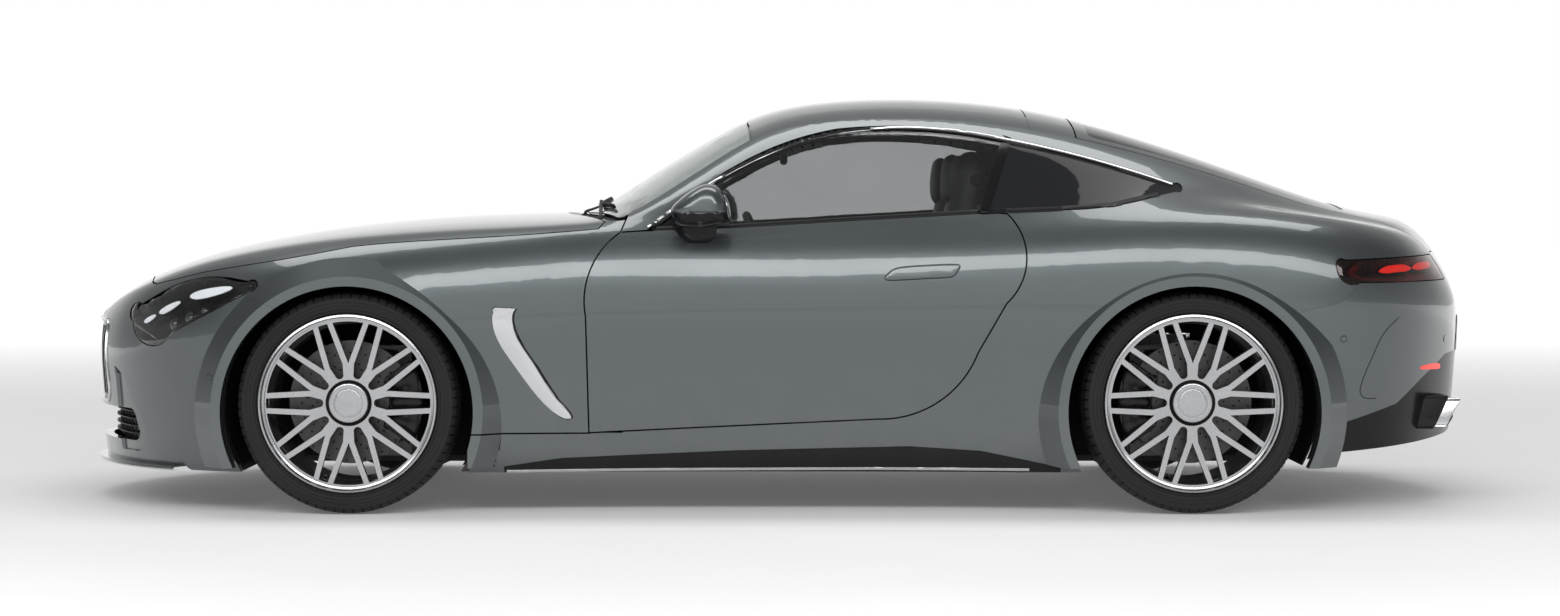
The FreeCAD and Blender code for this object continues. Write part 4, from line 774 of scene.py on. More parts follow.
def patch(skin, view, outline, proud, thick=0.004, grid=0.02, round_edge=0.006, bm=None, lift=None):
    """A thin rounded plate with a given outline, laid on the skin."""
    bm = bm or bmesh.new()
    border = evenly(list(outline) + [outline[0]], grid * 0.5)[:-1]
    count = len(border)
    drop = round_edge * 0.6
    points, lifts = [p.copy() for p in border], [proud - drop] * count
    for share, height in ((0.35, proud - drop * 0.65 ** 2 * 0.45), (1.0, proud)):
        points += [p + step * round_edge * share for p, step in zip(border, inward(border))]
        lifts += [height] * count
    filling = grid_points(border, grid, round_edge + grid * 0.45)
    points += filling
    lifts += [proud] * len(filling)
    edges = [(k, (k + 1) % count) for k in range(count)]
    found, _, faces, sources, _, _ = delaunay_2d_cdt(points, edges, [list(range(count))], 1, 1e-6)
    front, back = [], []
    for p, source in zip(found, sources):
        rise = lifts[source[0]] if source else proud
        place, normal = on_skin(skin, view, p.x, p.y)
        rise += lift(p.x, p.y) if lift else 0.0
        front.append(bm.verts.new(place + normal * rise))
        back.append(bm.verts.new(place + normal * (rise - thick)))
    sides = {}
    for face in faces:
        bm.faces.new([front[i] for i in face])
        bm.faces.new([back[i] for i in reversed(face)])
        for i, j in zip(face, next_of(face)):
            if sides.pop((j, i), None) is None:
                sides[(i, j)] = True
    for i, j in sides:
        bm.faces.new((front[j], front[i], back[i], back[j]))
    return bm


def outer_faces(node, aim, turn=35.0):
    """The smooth stretch of a node's skin that a look from the left at aim (x, z) meets: points and faces."""
    bm = bmesh.new()
    bm.from_mesh(NODES[node].data)
    bmesh.ops.remove_doubles(bm, verts=bm.verts, dist=2e-5)
    bm.faces.ensure_lookup_table()
    _, _, first, _ = BVHTree.FromBMesh(bm).ray_cast(Vector((aim[0], -FAR, aim[1])), Vector((0, 1, 0)))
    found, fresh = {bm.faces[first]}, [bm.faces[first]]
    while fresh:
        face = fresh.pop()
        for edge in face.edges:
            for other in edge.link_faces:
                if other not in found and face.normal.angle(other.normal, 0.0) < math.radians(turn):
                    found.add(other)
                    fresh.append(other)
    used = {v: k for k, v in enumerate(dict.fromkeys(v for f in found for v in f.verts))}
    points = [v.co.copy() for v in used]
    faces = [[used[v] for v in f.verts] for f in found]
    bm.free()
    return points, faces


@cache
def outer_skin():
    """The whole outside of the car, for what is laid on it."""
    return surface_of("hood", "front_bumper", "front_fenders", "side_frame_left", "side_frame_right",
                      "door_left", "door_right", "roof", "tailgate", "rear_bumper", "diffuser",
                      "windscreen", "rear_window", "quarter_windows", "door_glass_left", "door_glass_right",
                      "headlamps", "tail_lamps", "side_skirts", "fender_vents")


# ---------- wheels
TREAD_PITCHES = 72
TREAD_SLOT = 0.15               # share of a pitch
TREAD_DEPTH = 0.0065
TREAD_LEAN = 0.55               # pitches from the middle to the shoulder
SHOULDER = (0.63, 0.965)        # the cut blocks, as shares of the half width
# half of the tyre's section: share of the half width, drop below the crown
TYRE_SIDE = ((0.0, 0.0), (0.165, 0.0), (0.17, TREAD_DEPTH), (0.23, TREAD_DEPTH), (0.235, 0.0),
             (0.545, 0.001), (0.55, TREAD_DEPTH + 0.001), (0.61, TREAD_DEPTH + 0.001), (0.615, 0.0015),
             (0.72, 0.002), (0.82, 0.004), (0.885, 0.0075), (0.935, 0.0125), (0.962, 0.0185),
             (0.969, 0.0195), (0.966, 0.0205), (0.978, 0.025), (0.988, 0.031), (0.984, 0.032),
             (0.991, 0.033), (0.999, 0.043), (0.993, 0.044), (0.999, 0.045), (0.994, 0.054), (0.978, 0.057),
             (0.992, 0.059), (0.992, 0.062), (0.972, 0.064), (0.945, 0.068), (0.915, 0.0695), (0.9, 0.066),
             (0.7, 0.06))


def tyre_bmesh(end):
    """Tyre with circumferential grooves, cut shoulder blocks and a ribbed sidewall."""
    low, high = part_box(end + "_tyre_left")
    centre = wheel_centre(end)
    half, radius = (high[1] - low[1]) / 2, (high[2] - low[2]) / 2
    centre.y = (high[1] + low[1]) / 2
    profile = [*TYRE_SIDE, *((-s, drop) for s, drop in reversed(TYRE_SIDE[1:]))]
    rows = []
    for pitch in range(TREAD_PITCHES):
        for share, cut in ((0.0, 1), (TREAD_SLOT, 1), (TREAD_SLOT + 0.02, 0), (0.5, 0), (0.98, 0)):
            row = []
            for s, drop in profile:
                lean = min(abs(s), 0.9) * TREAD_LEAN * (1 if s > 0 else -1)
                a = 2 * math.pi * (pitch + share + lean) / TREAD_PITCHES
                r = radius - drop
                if cut and SHOULDER[0] < abs(s) < SHOULDER[1]:
                    r -= TREAD_DEPTH * 0.8
                row.append(about_axle(centre, r, a, s * half))
            rows.append(row)
    return add_rings(bmesh.new(), rows, False, True)


def drilled_plate(radius, bore, holes, hole_radius, thickness):
    """A flat disc in XZ with round holes through it, as a bmesh about its own centre."""
    curve = bpy.data.curves.new("drilled", "CURVE")
    curve.dimensions = "2D"
    curve.fill_mode = "BOTH"
    curve.extrude = thickness / 2
    for x, y, r, steps in [(0, 0, radius, 128), (0, 0, bore, 96)] + [(x, y, hole_radius, 12) for x,
                                                                     y in holes]:
        spline = curve.splines.new("POLY")
        spline.points.add(steps - 1)
        spline.use_cyclic_u = True
        for a, point in zip(turns(steps), spline.points):
            point.co = (x + r * math.cos(a), y + r * math.sin(a), 0, 1)
    holder = bpy.data.objects.new("drilled", curve)
    mesh = bpy.data.meshes.new_from_object(holder)
    bm = bmesh.new()
    bm.from_mesh(mesh)
    bm.transform(Matrix.Rotation(math.radians(90), 4, "X"))
    bpy.data.objects.remove(holder)
    bpy.data.curves.remove(curve)
    bpy.data.meshes.remove(mesh)
    return bm


# radius of a row of holes, its lead as a share of the step between two arms
DISC_HOLE_ROWS = ((0.108, 0.0), (0.124, 0.35), (0.141, 0.7), (0.158, 0.05), (0.175, 0.4), (0.188, 0.75))
DISC_ARMS = 20
DISC_VANES = 36
DISC_FACES = (0.038, 0.01)     # outboard of the wheel's centre
DISC_PLATE = 0.009
DISC_BORE = 0.082
DISC_HOLE = 0.0034
VANE_HALF = Vector((0.052, 0.0051, 0.003))
HAT = ((0.04, -0.009), (0.083, -0.012), (0.086, -0.04), (0.082, -0.0434), (0.0, -0.0435), (0.0, -0.009))


def disc_bmesh(end):
    """Drilled brake disc in two plates with vanes between, and its hat."""
    low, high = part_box(end + "_brake_disc_left")
    centre = wheel_centre(end)
    outer_face, inner_face = (centre.y - y for y in DISC_FACES)
    holes = []
    for k in range(DISC_ARMS):
        for r, lead in DISC_HOLE_ROWS:
            a = 2 * math.pi * (k + lead) / DISC_ARMS
            holes.append((r * math.cos(a), r * math.sin(a)))
    bm = bmesh.new()
    for y in (outer_face + DISC_PLATE / 2, inner_face - DISC_PLATE / 2):
        plate = drilled_plate((high[2] - low[2]) / 2, DISC_BORE, holes, DISC_HOLE, DISC_PLATE)
        pour(plate, bm, Matrix.Translation((centre.x, y, centre.z)))
    for a in turns(DISC_VANES):
        turn = Matrix.Rotation(-a, 3, "Y")
        middle = Vector((centre.x, (outer_face + inner_face) / 2, centre.z)) + turn @ Vector((0.14, 0, 0))
        rounded_block(middle - VANE_HALF, middle + VANE_HALF, 0.001, bm, turn, 1)
    turned(HAT, centre, 72, bm)
    return bm


CALIPER_REACH = math.radians(35.5)              # half its angle round the disc
CALIPER_STEPS = 36
CALIPER_BACK = 0.0415                           # outboard of the wheel's centre
BOLT = ((0.0, -0.0665), (0.0052, -0.0665), (0.0062, -0.0655), (0.0062, -0.06), (0.0, -0.06))
# radius, degrees round, distance outboard
CALIPER_PIPE = ((0.15, -34.0, 0.05), (0.136, -37.0, 0.045), (0.128, -30.0, 0.048), (0.127, 0.0, 0.05),
                (0.128, 30.0, 0.048), (0.15, 34.0, 0.05))


def caliper_bmesh(end):
    """Ribbed caliper over the disc, with its bolts and cross pipe."""
    centre = wheel_centre(end)
    around = 0.0 if end == "front" else math.pi
    rings = []
    for k in range(CALIPER_STEPS + 1):
        share = 2.0 * k / CALIPER_STEPS - 1.0
        swell = math.cos(share * 3 * math.pi)
        r0, r1 = 0.131 + 0.004 * abs(share), 0.2335 + 0.002 * swell
        y0 = CALIPER_BACK
        y1 = CALIPER_BACK + 0.021 * (1.0 - 0.2 * abs(share) ** 6) + 0.003 * swell
        section = ((r0, y0), (r0, y1 - 0.007), (r0 + 0.008, y1 - 0.001), (r0 + 0.03, y1),
                   (r0 + 0.045, y1 - 0.004),
                   (r1 - 0.045, y1 - 0.004), (r1 - 0.03, y1), (r1 - 0.008, y1 - 0.001), (r1, y1 - 0.007),
                   (r1, y0))
        rings.append([about_axle(centre, r, around + share * CALIPER_REACH, -y) for r, y in section])
    bm = loft(rings)
    for share in (-0.78, -0.3, 0.3, 0.78):
        for r in (0.148, 0.217):
            spot = Vector(about_axle(centre, r, around + share * CALIPER_REACH, 0.0))
            turned(BOLT, spot, 12, bm)
    pipe = [about_axle(centre, r, around + math.radians(a), -y) for r, a, y in CALIPER_PIPE]
    tube(curve_through(pipe, 8), 0.0032, 8, bm)
    return bm


# (radius, y) sections of the hub cap, with a dished centre and a raised ring, and of the dark ring about it
HUB_CAP = ((0.0, -0.1085), (0.018, -0.1086), (0.034, -0.1098), (0.0415, -0.1102), (0.043, -0.1092),
           (0.0455, -0.1092), (0.047, -0.1112), (0.058, -0.1118), (0.0615, -0.1104), (0.0632, -0.107),
           (0.0632, -0.1052), (0.0, -0.1052))
HUB_GROOVE = ((0.0642, -0.0884), (0.0735, -0.089), (0.0738, -0.0975), (0.0715, -0.0978), (0.07, -0.0935),
              (0.0655, -0.0925), (0.0642, -0.0945))
VALVE_ANGLE = math.radians(252.0)


def valve_bmesh(end):
    low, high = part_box(end + "_rim_left")
    out = Vector((math.cos(VALVE_ANGLE), 0, math.sin(VALVE_ANGLE)))
    base = wheel_centre(end) + out * 0.2535 + Vector((0, 0.067 - (high[1] - low[1]) / 2, 0))
    return tube([base, base + Vector((0, -0.014, 0)) - out * 0.004,
                 base + Vector((0, -0.03, 0)) - out * 0.01],
                [0.0048, 0.0042, 0.0038], 12)


class COUPE_OT_tyres(bpy.types.Operator):
    """Four tyres with tread blocks and sidewall ribs"""
    bl_idname = "coupe.tyres"
    bl_label = "Tyres"

    def execute(self, context):
        for end in ENDS:
            pair = add_pair("tread_" + end, tyre_bmesh(end), "tyre_rubber", "wheel_" + end + "_{}", 50.0)
            replace_both(pair, end + "_tyre_{}")
        return {"FINISHED"}


class COUPE_OT_brakes(bpy.types.Operator):
    """Drilled discs, calipers, hub caps and valves"""
    bl_idname = "coupe.brakes"
    bl_label = "Brakes and hub caps"

    def execute(self, context):
        for end in ENDS:
            wheel = "wheel_" + end + "_{}"
            replace_both(add_pair("disc_" + end, disc_bmesh(end), "iron", wheel), end + "_brake_disc_{}")
            carrier = "knuckle_{}" if end == "front" else "body"
            add_pair("caliper_" + end, caliper_bmesh(end), "caliper_black", carrier)
            add_pair("hub_cap_" + end, turned(HUB_CAP, wheel_centre(end)), "wheel_silver", wheel)
            add_pair("hub_groove_" + end, turned(HUB_GROOVE, wheel_centre(end)), "gloss_black", wheel)
            add_pair("valve_" + end, valve_bmesh(end), "satin_black", wheel)
        return {"FINISHED"}


# ---------- lamps
def inset_outline(outline, amount):
    """A closed outline moved inward by an amount."""
    line = evenly([*outline, outline[0]], 0.01)[:-1]
    return [p + step * amount for p, step in zip(line, inward(line, 2))]


def lamp_shell(name, node, aim, view, depth, slope, finish_name):
    """The lens in its frame node's outline, and a dark bowl that grows deeper from the border inward."""
    points, faces = outer_faces(node, aim)
    skin = BVHTree.FromPolygons(points, faces)
    outline = inset_outline(outline_in_view(points, faces, view), 0.0015)
    lens = add_pair(name + "_lens", patch(skin, view, outline, 0.0005, 0.0022, 0.02, 0.004), finish_name)
    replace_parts(lens[0], node)

    def hollow(a, b):
        near = min((Vector((a, b)) - p).length for p in outline)
        return -depth * min(1.0, near / slope) ** 0.7

    bowl = patch(skin, view, outline, -0.003, 0.0015, 0.014, 0.002, lift=hollow)
    add_pair(name + "_bowl", bowl, "lamp_dark")
    return skin, outline


def bar_round(skin, view, outline, radius, lift, sides):
    """A round bar laid along a closed outline on the skin."""
    places = []
    for a, b in outline + outline[:1]:
        place, normal = on_skin(skin, view, a, b)
        places.append(place + normal * lift)
    return tube(places, radius, sides)


# light guides: front and rear end (x, z), half height
GUIDES = (((-2.082, 0.606), (-2.036, 0.633), 0.0085), ((-2.022, 0.638), (-1.943, 0.679), 0.0115),
          ((-1.908, 0.695), (-1.758, 0.727), 0.0165))
# projectors: x, z, radius
EYES = ((-1.985, 0.604, 0.024), (-1.925, 0.628, 0.022), (-1.865, 0.655, 0.018))
EYE_DEPTH = 0.03
EYE_FACING = Vector((-0.86, -0.5, 0)).normalized()


def pill(start, end, half, count=14):
    """Outline of a light guide between two points, blunt at the front and slimmer at the back."""
    start, end = Vector(start), Vector(end)
    across = Vector((start.y - end.y, end.x - start.x)).normalized()
    upper, lower = [], []
    for k in range(count + 1):
        t = 0.5 - 0.5 * math.cos(math.pi * k / count)
        w = half * (1.0 - abs(2 * t - 1) ** 2.4) ** 0.5 * (1.0 - 0.35 * t)
        upper.append(start.lerp(end, t) + across * w)
        lower.append(start.lerp(end, t) - across * w)
    return upper + lower[-2:0:-1]


class COUPE_OT_headlamps(bpy.types.Operator):
    """Headlamps: lens, dark bowl, light guides, projectors and fins"""
    bl_idname = "coupe.headlamps"
    bl_label = "Headlamps"

    def execute(self, context):
        view = "nose_corner"
        skin, outline = lamp_shell("headlamp", "headlamps", (-1.9, 0.66), view, 0.034, 0.05, "lamp_glass")
        rim = bar_round(skin, view, inset_outline(outline, 0.006), 0.0028, -0.006, 8)
        add_pair("headlamp_rim", rim, "gloss_black")
        guides, pods = bmesh.new(), bmesh.new()
        for guide in GUIDES:
            patch(skin, "left", pill(*guide), -0.0055, 0.003, 0.01, 0.0035, guides)
            patch(skin, "left", inset_outline(pill(*guide), -0.004), -0.01, 0.008, 0.012, 0.002, pods)
        add_pair("light_guides", guides, "lamp_glow")
        add_pair("guide_pods", pods, "gloss_black")
        eyes, fins = bmesh.new(), bmesh.new()
        for x, z, r in EYES:
            place, normal = on_skin(skin, "left", x, z)
            seat = place - normal * EYE_DEPTH
            turn = EYE_FACING.to_track_quat("Z", "Y").to_matrix().to_4x4()
            eye = turned(((0.0, 0.01), (r * 0.55, 0.0085), (r * 0.86, 0.003), (r, -0.004), (r * 0.9, -0.012),
                          (0.0, -0.012)), (0, 0, 0), 40)
            pour(eye, eyes, Matrix.Translation(seat) @ turn @ Matrix.Rotation(math.radians(90), 4, "X"))
            for step in range(4):
                level = seat + Vector((0.0, 0.0, -r + 2 * r * step / 3))
                rounded_block(level + Vector((-0.012, 0.004, -0.0012)), level + Vector((0.03, 0.02, 0.0012)),
                              0.0008, fins, segments=1)
        add_pair("headlamp_eyes", eyes, "screen_glass")
        add_pair("headlamp_fins", fins, "satin_black")
        return {"FINISHED"}


TAIL_BLOCKS = (((1.945, 0.779), (1.985, 0.785), (2.03, 0.788), (2.072, 0.787)),
               ((2.085, 0.789), (2.115, 0.793), (2.15, 0.796), (2.178, 0.797)))
TAIL_BLOCK_RADIUS = 0.0125
TAIL_WING = ((1.845, 0.762), (1.88, 0.752), (1.95, 0.748), (2.05, 0.747), (2.15, 0.749))
TAIL_WING_TIP = ((1.862, 0.795), (1.835, 0.775), (1.85, 0.76))


class COUPE_OT_taillamps(bpy.types.Operator):
    """Tail lamps: smoked lens, dark bowl and red light blocks"""
    bl_idname = "coupe.taillamps"
    bl_label = "Tail lamps"

    def execute(self, context):
        skin, _ = lamp_shell("taillamp", "tail_lamps", (2.0, 0.78), "tail_corner", 0.026, 0.035,
                             "smoked_glass")
        blocks, seats, wing = bmesh.new(), bmesh.new(), bmesh.new()
        for line in TAIL_BLOCKS:
            spots = [on_skin(skin, "left", x, z) for x, z in curve_through(line)]
            count = len(spots)
            radii = [TAIL_BLOCK_RADIUS * min(1.0, 0.25 + 3.2 * min(k, count - 1 - k) / count)
                     for k in range(count)]
            tube([place - normal * 0.0145 for place, normal in spots], radii, 16, blocks)
            tube([place - normal * 0.0275 for place, normal in spots], [r + 0.006 for r in radii], 16, seats)
        add_pair("taillamp_blocks", blocks, "red_glow")
        add_pair("taillamp_seats", seats, "satin_black")
        strip(skin, "left", TAIL_WING, 0.008, -0.008, 0.012, wing)
        strip(skin, "left", TAIL_WING_TIP, 0.022, -0.01, 0.014, wing)
        add_pair("taillamp_wing", wing, "red_dark")
        return {"FINISHED"}


# ---------- doors and side glass
# outlines and lines as (x, z), the roof rail as x, z and the seal's shift from it
HANDLE = ((0.34, 0.756), (0.349, 0.767), (0.384, 0.788), (0.505, 0.797), (0.574, 0.798), (0.5805, 0.7916),
          (0.565, 0.767), (0.547, 0.758), (0.4765, 0.754), (0.363, 0.748), (0.343, 0.7505))
BELT_DOOR = ((-0.405, 0.911), (-0.14, 0.92), (0.263, 0.9445), (0.655, 0.966))
BELT_BODY = ((0.685, 0.967), (0.9, 0.976), (1.08, 0.989), (1.236, 1.024))
BELT_COVER = ((-0.407, 0.903), (-0.14, 0.9125), (0.263, 0.9365), (0.642, 0.957), (0.66, 0.9575),
              (0.655, 0.917), (0.263, 0.902), (-0.14, 0.8775), (-0.407, 0.8675))
ROOF_RAIL = ((-0.42, 0.916, 0.006, -0.008), (-0.34, 0.9755, 0.006, -0.008), (-0.246, 1.0405, 0.006, -0.008),
             (-0.15, 1.098, 0.004, -0.009), (-0.04, 1.1525, 0.003, -0.009), (0.08, 1.1965, 0.002, -0.01),
             (0.2, 1.226, 0.001, -0.01), (0.33, 1.24, 0.0, -0.01), (0.45, 1.2425, 0.0, -0.01),
             (0.58, 1.232, -0.001, -0.01), (0.69, 1.2145, -0.002, -0.01), (0.85, 1.182, -0.002, -0.01),
             (1.01, 1.143, -0.003, -0.01), (1.18, 1.093, -0.003, -0.01), (1.288, 1.057, -0.006, -0.009))
DIVIDER = ((0.666, 0.972), (0.706, 1.085), (0.752, 1.212))
GLASS_STEP = 0.003             # how far the belt cover stands out over the pane
ON_DOOR = "door_{}"


class COUPE_OT_doors(bpy.types.Operator):
    """Door handles, belt seals and the bar between the side windows"""
    bl_idname = "coupe.doors"
    bl_label = "Door fittings"

    def execute(self, context):
        skin = outer_skin()
        outline = ring_through(HANDLE)
        # painted shade: a satin black plate a little wider than the handle stands for the shade in its recess
        gap = patch(skin, "left", inset_outline(outline, -0.0022), 0.0006, 0.003, 0.014, 0.001)
        add_pair("handle_gap_shade", gap, "satin_black", ON_DOOR)
        handle = patch(skin, "left", outline, 0.0048, 0.005, 0.01, 0.0045)
        add_pair("door_handle", handle, "body_paint", ON_DOOR, 60.0)
        glass, door = surface_of("door_glass_left"), surface_of("door_left")

        def over_glass(a, b):
            start, ahead = Vector((a, -FAR, b)), Vector((0, 1, 0))
            pane, panel = glass.ray_cast(start, ahead)[0], door.ray_cast(start, ahead)[0]
            return GLASS_STEP if pane is not None and (panel is None or pane.y < panel.y) else 0.0

        both = surface_of("door_left", "door_glass_left")
        cover = patch(both, "left", BELT_COVER, 0.0004, 0.0006, 0.03, 0.0006, lift=over_glass)
        add_pair("belt_cover", cover, "body_paint", ON_DOOR)
        add_pair("belt_seal_door", strip(skin, "left", BELT_DOOR, 0.012, 0.0035), "satin_black", ON_DOOR)
        rail = surface_of("window_trims", "side_frame_left", "quarter_windows")
        seal = curve_through([(x + a, z + b) for x, z, a, b in ROOF_RAIL])
        add_pair("rail_seal", strip(rail, "left", seal, 0.01, 0.0012, 0.003), "satin_black")
        bright = curve_through([(x, z) for x, z, _, _ in ROOF_RAIL])
        pair = add_pair("rail_strip", strip(rail, "left", bright, 0.0085, 0.0026, 0.003), "bright_trim")
        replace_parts(pair[0], "window_trims")
        add_pair("belt_seal_rear", strip(skin, "left", BELT_BODY, 0.013, 0.003), "satin_black")
        add_pair("window_divider", strip(skin, "left", DIVIDER, 0.03, 0.0022), "gloss_black")
        return {"FINISHED"}


MIRROR = ((-0.342, 0.978), (-0.318, 1.004), (-0.276, 1.036), (-0.233, 1.055), (-0.191, 1.046),
          (-0.166, 1.01), (-0.157, 0.983), (-0.154, 0.93), (-0.186, 0.925), (-0.256, 0.915),
          (-0.323, 0.925), (-0.34, 0.957))
MIRROR_MIDDLE = Vector((-0.243, 0.983))
# y, share of the outline's width and of its height
MIRROR_SLICES = ((-1.046, 0.1, 0.12), (-1.0445, 0.3, 0.34), (-1.04, 0.5, 0.55), (-1.032, 0.67, 0.71),
                 (-1.02, 0.8, 0.83), (-1.004, 0.9, 0.915), (-0.984, 0.965, 0.97), (-0.955, 1.0, 1.0),
                 (-0.925, 0.985, 0.98), (-0.898, 0.93, 0.9), (-0.884, 0.8, 0.76), (-0.88, 0.45, 0.42))
MIRROR_FOOT = ((-0.329, 0.925), (-0.308, 0.872), (-0.258, 0.866), (-0.215, 0.876), (-0.228, 0.925))
MIRROR_FOOT_MIDDLE = Vector((-0.268, 0.895))
MIRROR_SPLIT = 0.963            # height where paint meets black
MIRROR_LAMP = ((-0.282, 0.9665), (-0.22, 0.9662), (-0.164, 0.9658))
MIRROR_GLASS = ((-1.0, 0.96), (-0.996, 1.005), (-0.975, 1.022), (-0.935, 1.018), (-0.908, 0.998),
                (-0.908, 0.956), (-0.945, 0.942), (-0.985, 0.944))
MIRROR_SAIL = ((-0.412, 0.9135), (-0.375, 0.944), (-0.33, 0.977), (-0.283, 1.01), (-0.262, 0.99),
               (-0.258, 0.917))


def disc_outline(a, b, radius, count=12):
    """A small round outline."""
    return ring_through([(a + radius * math.cos(t), b + radius * math.sin(t)) for t in turns(count)])


class COUPE_OT_mirrors(bpy.types.Operator):
    """Door mirrors: shell, turn lamp, glass and foot"""
    bl_idname = "coupe.mirrors"
    bl_label = "Door mirrors"

    def execute(self, context):
        outline = ring_through(MIRROR, 5)
        rings = []
        for y, wide, tall in MIRROR_SLICES:
            rings.append([Vector((MIRROR_MIDDLE.x + (p.x - MIRROR_MIDDLE.x) * wide, y,
                                  MIRROR_MIDDLE.y + (p.y - MIRROR_MIDDLE.y) * tall)) for p in outline])
        mesh = as_mesh(loft(rings), "mirror_shell", 50.0)
        shells = mirror_pair("mirror_shell", mesh, ("body_paint", "gloss_black"), ON_DOOR)
        replace_both(shells, "door_mirror_{}")
        for piece in shells:
            for face in piece.data.polygons:
                face.material_index = 0 if face.center.z > MIRROR_SPLIT else 1
        skin = skin_tree([mesh])
        lamp = strip(skin, "left", MIRROR_LAMP, 0.005, 0.0016, 0.002)
        add_pair("mirror_lamp", lamp, "screen_glass", ON_DOOR)
        seam = strip(skin, "front", [(y, MIRROR_SPLIT) for y in (-1.03, -0.96, -0.894)], 0.003, 0.0006, 0.002)
        add_pair("mirror_seam", seam, "satin_black", ON_DOOR)
        face = ring_through(MIRROR_GLASS, 4)
        bezel = patch(skin, "rear", inset_outline(face, -0.006), 0.001, 0.004, 0.02, 0.003)
        add_pair("mirror_bezel", bezel, "satin_black", ON_DOOR)
        add_pair("mirror_glass", patch(skin, "rear", face, 0.0022, 0.004, 0.02, 0.001), "mirror_glass",
                 ON_DOOR)
        eye = patch(skin, "left", disc_outline(-0.247, 0.928, 0.008), 0.0012, 0.004, 0.01, 0.001)
        add_pair("mirror_camera", eye, "screen_glass", ON_DOOR)
        sail = patch(outer_skin(), "left", MIRROR_SAIL, 0.0015, 0.004, 0.02, 0.002)
        add_pair("mirror_sail", sail, "gloss_black", ON_DOOR)
        add_pair("mirror_foot", self.foot(), "gloss_black", ON_DOOR, 50.0)
        return {"FINISHED"}

    def foot(self):
        """A short arm from the door out to the shell."""
        rings = []
        for share, scale in ((0.0, 1.12), (0.12, 1.0), (0.6, 0.86), (1.0, 0.9)):
            ring = []
            for p in ring_through(MIRROR_FOOT, 4):
                q = MIRROR_FOOT_MIDDLE + (p - MIRROR_FOOT_MIDDLE) * scale
                start, _ = on_skin(outer_skin(), "left", q.x, min(q.y, 0.9))
                ring.append(Vector((q.x + 0.02 * share, start.y + 0.004 + (-0.925 - start.y) * share,
                                    q.y + 0.012 * share)))
            rings.append(ring)
        return loft(rings)

# ---------- panels and bumpers
SILL_STRIP = ((-0.872, 0.1345), (-0.4, 0.1385), (0.3, 0.1415), (0.805, 0.14))
TAIL_CREASE = ((2.003, 0.6254), (1.949, 0.576), (1.913, 0.5086), (1.881, 0.4366), (1.868, 0.39),
               (1.886, 0.3675), (1.925, 0.366))
VENT_REACH = 0.014              # how far past the blade the skin is smooth
# front and rear x at a height
VENT_BLADE = ((-0.901, -0.836, 0.658), (-0.913, -0.846, 0.638), (-0.909, -0.843, 0.59),
              (-0.888, -0.8175, 0.5395), (-0.8515, -0.781, 0.484), (-0.814, -0.7495, 0.4305),
              (-0.774, -0.715, 0.377), (-0.732, -0.675, 0.332), (-0.702, -0.663, 0.311),
              (-0.68, -0.666, 0.304))
# share of the blade's width, height above the skin
VENT_FACE = ((0.0, -0.003), (0.03, 0.0015), (0.1, 0.0035), (0.5, 0.003), (0.9, 0.0045), (0.97, 0.003),
             (1.0, -0.003))
# a low satin black strip along the vent blade's rear edge: a painted shadow
VENT_SHADOW_FACE = ((0.0, -0.003), (0.1, 0.001), (0.9, 0.0008), (1.0, -0.003))
SENSORS = (("left", -1.814, 0.441), ("left", 1.808, 0.56), ("front", -0.52, 0.442), ("rear", -0.52, 0.545),
           ("front", -0.2, 0.625), ("rear", -0.2, 0.545))
REFLECTOR = ((0.545, 0.447), (0.55, 0.463), (0.62, 0.466), (0.69, 0.461), (0.694, 0.452), (0.62, 0.448))
PLATE = ((-0.262, 0.506), (-0.254, 0.498), (0.254, 0.498), (0.262, 0.506), (0.262, 0.6), (0.254, 0.608),
         (-0.254, 0.608), (-0.262, 0.6))
# pivot, blade from and to y, arm's drop
WIPERS = ((-0.6, -0.56, 0.02, 0.075), (0.02, 0.05, 0.58, 0.055))


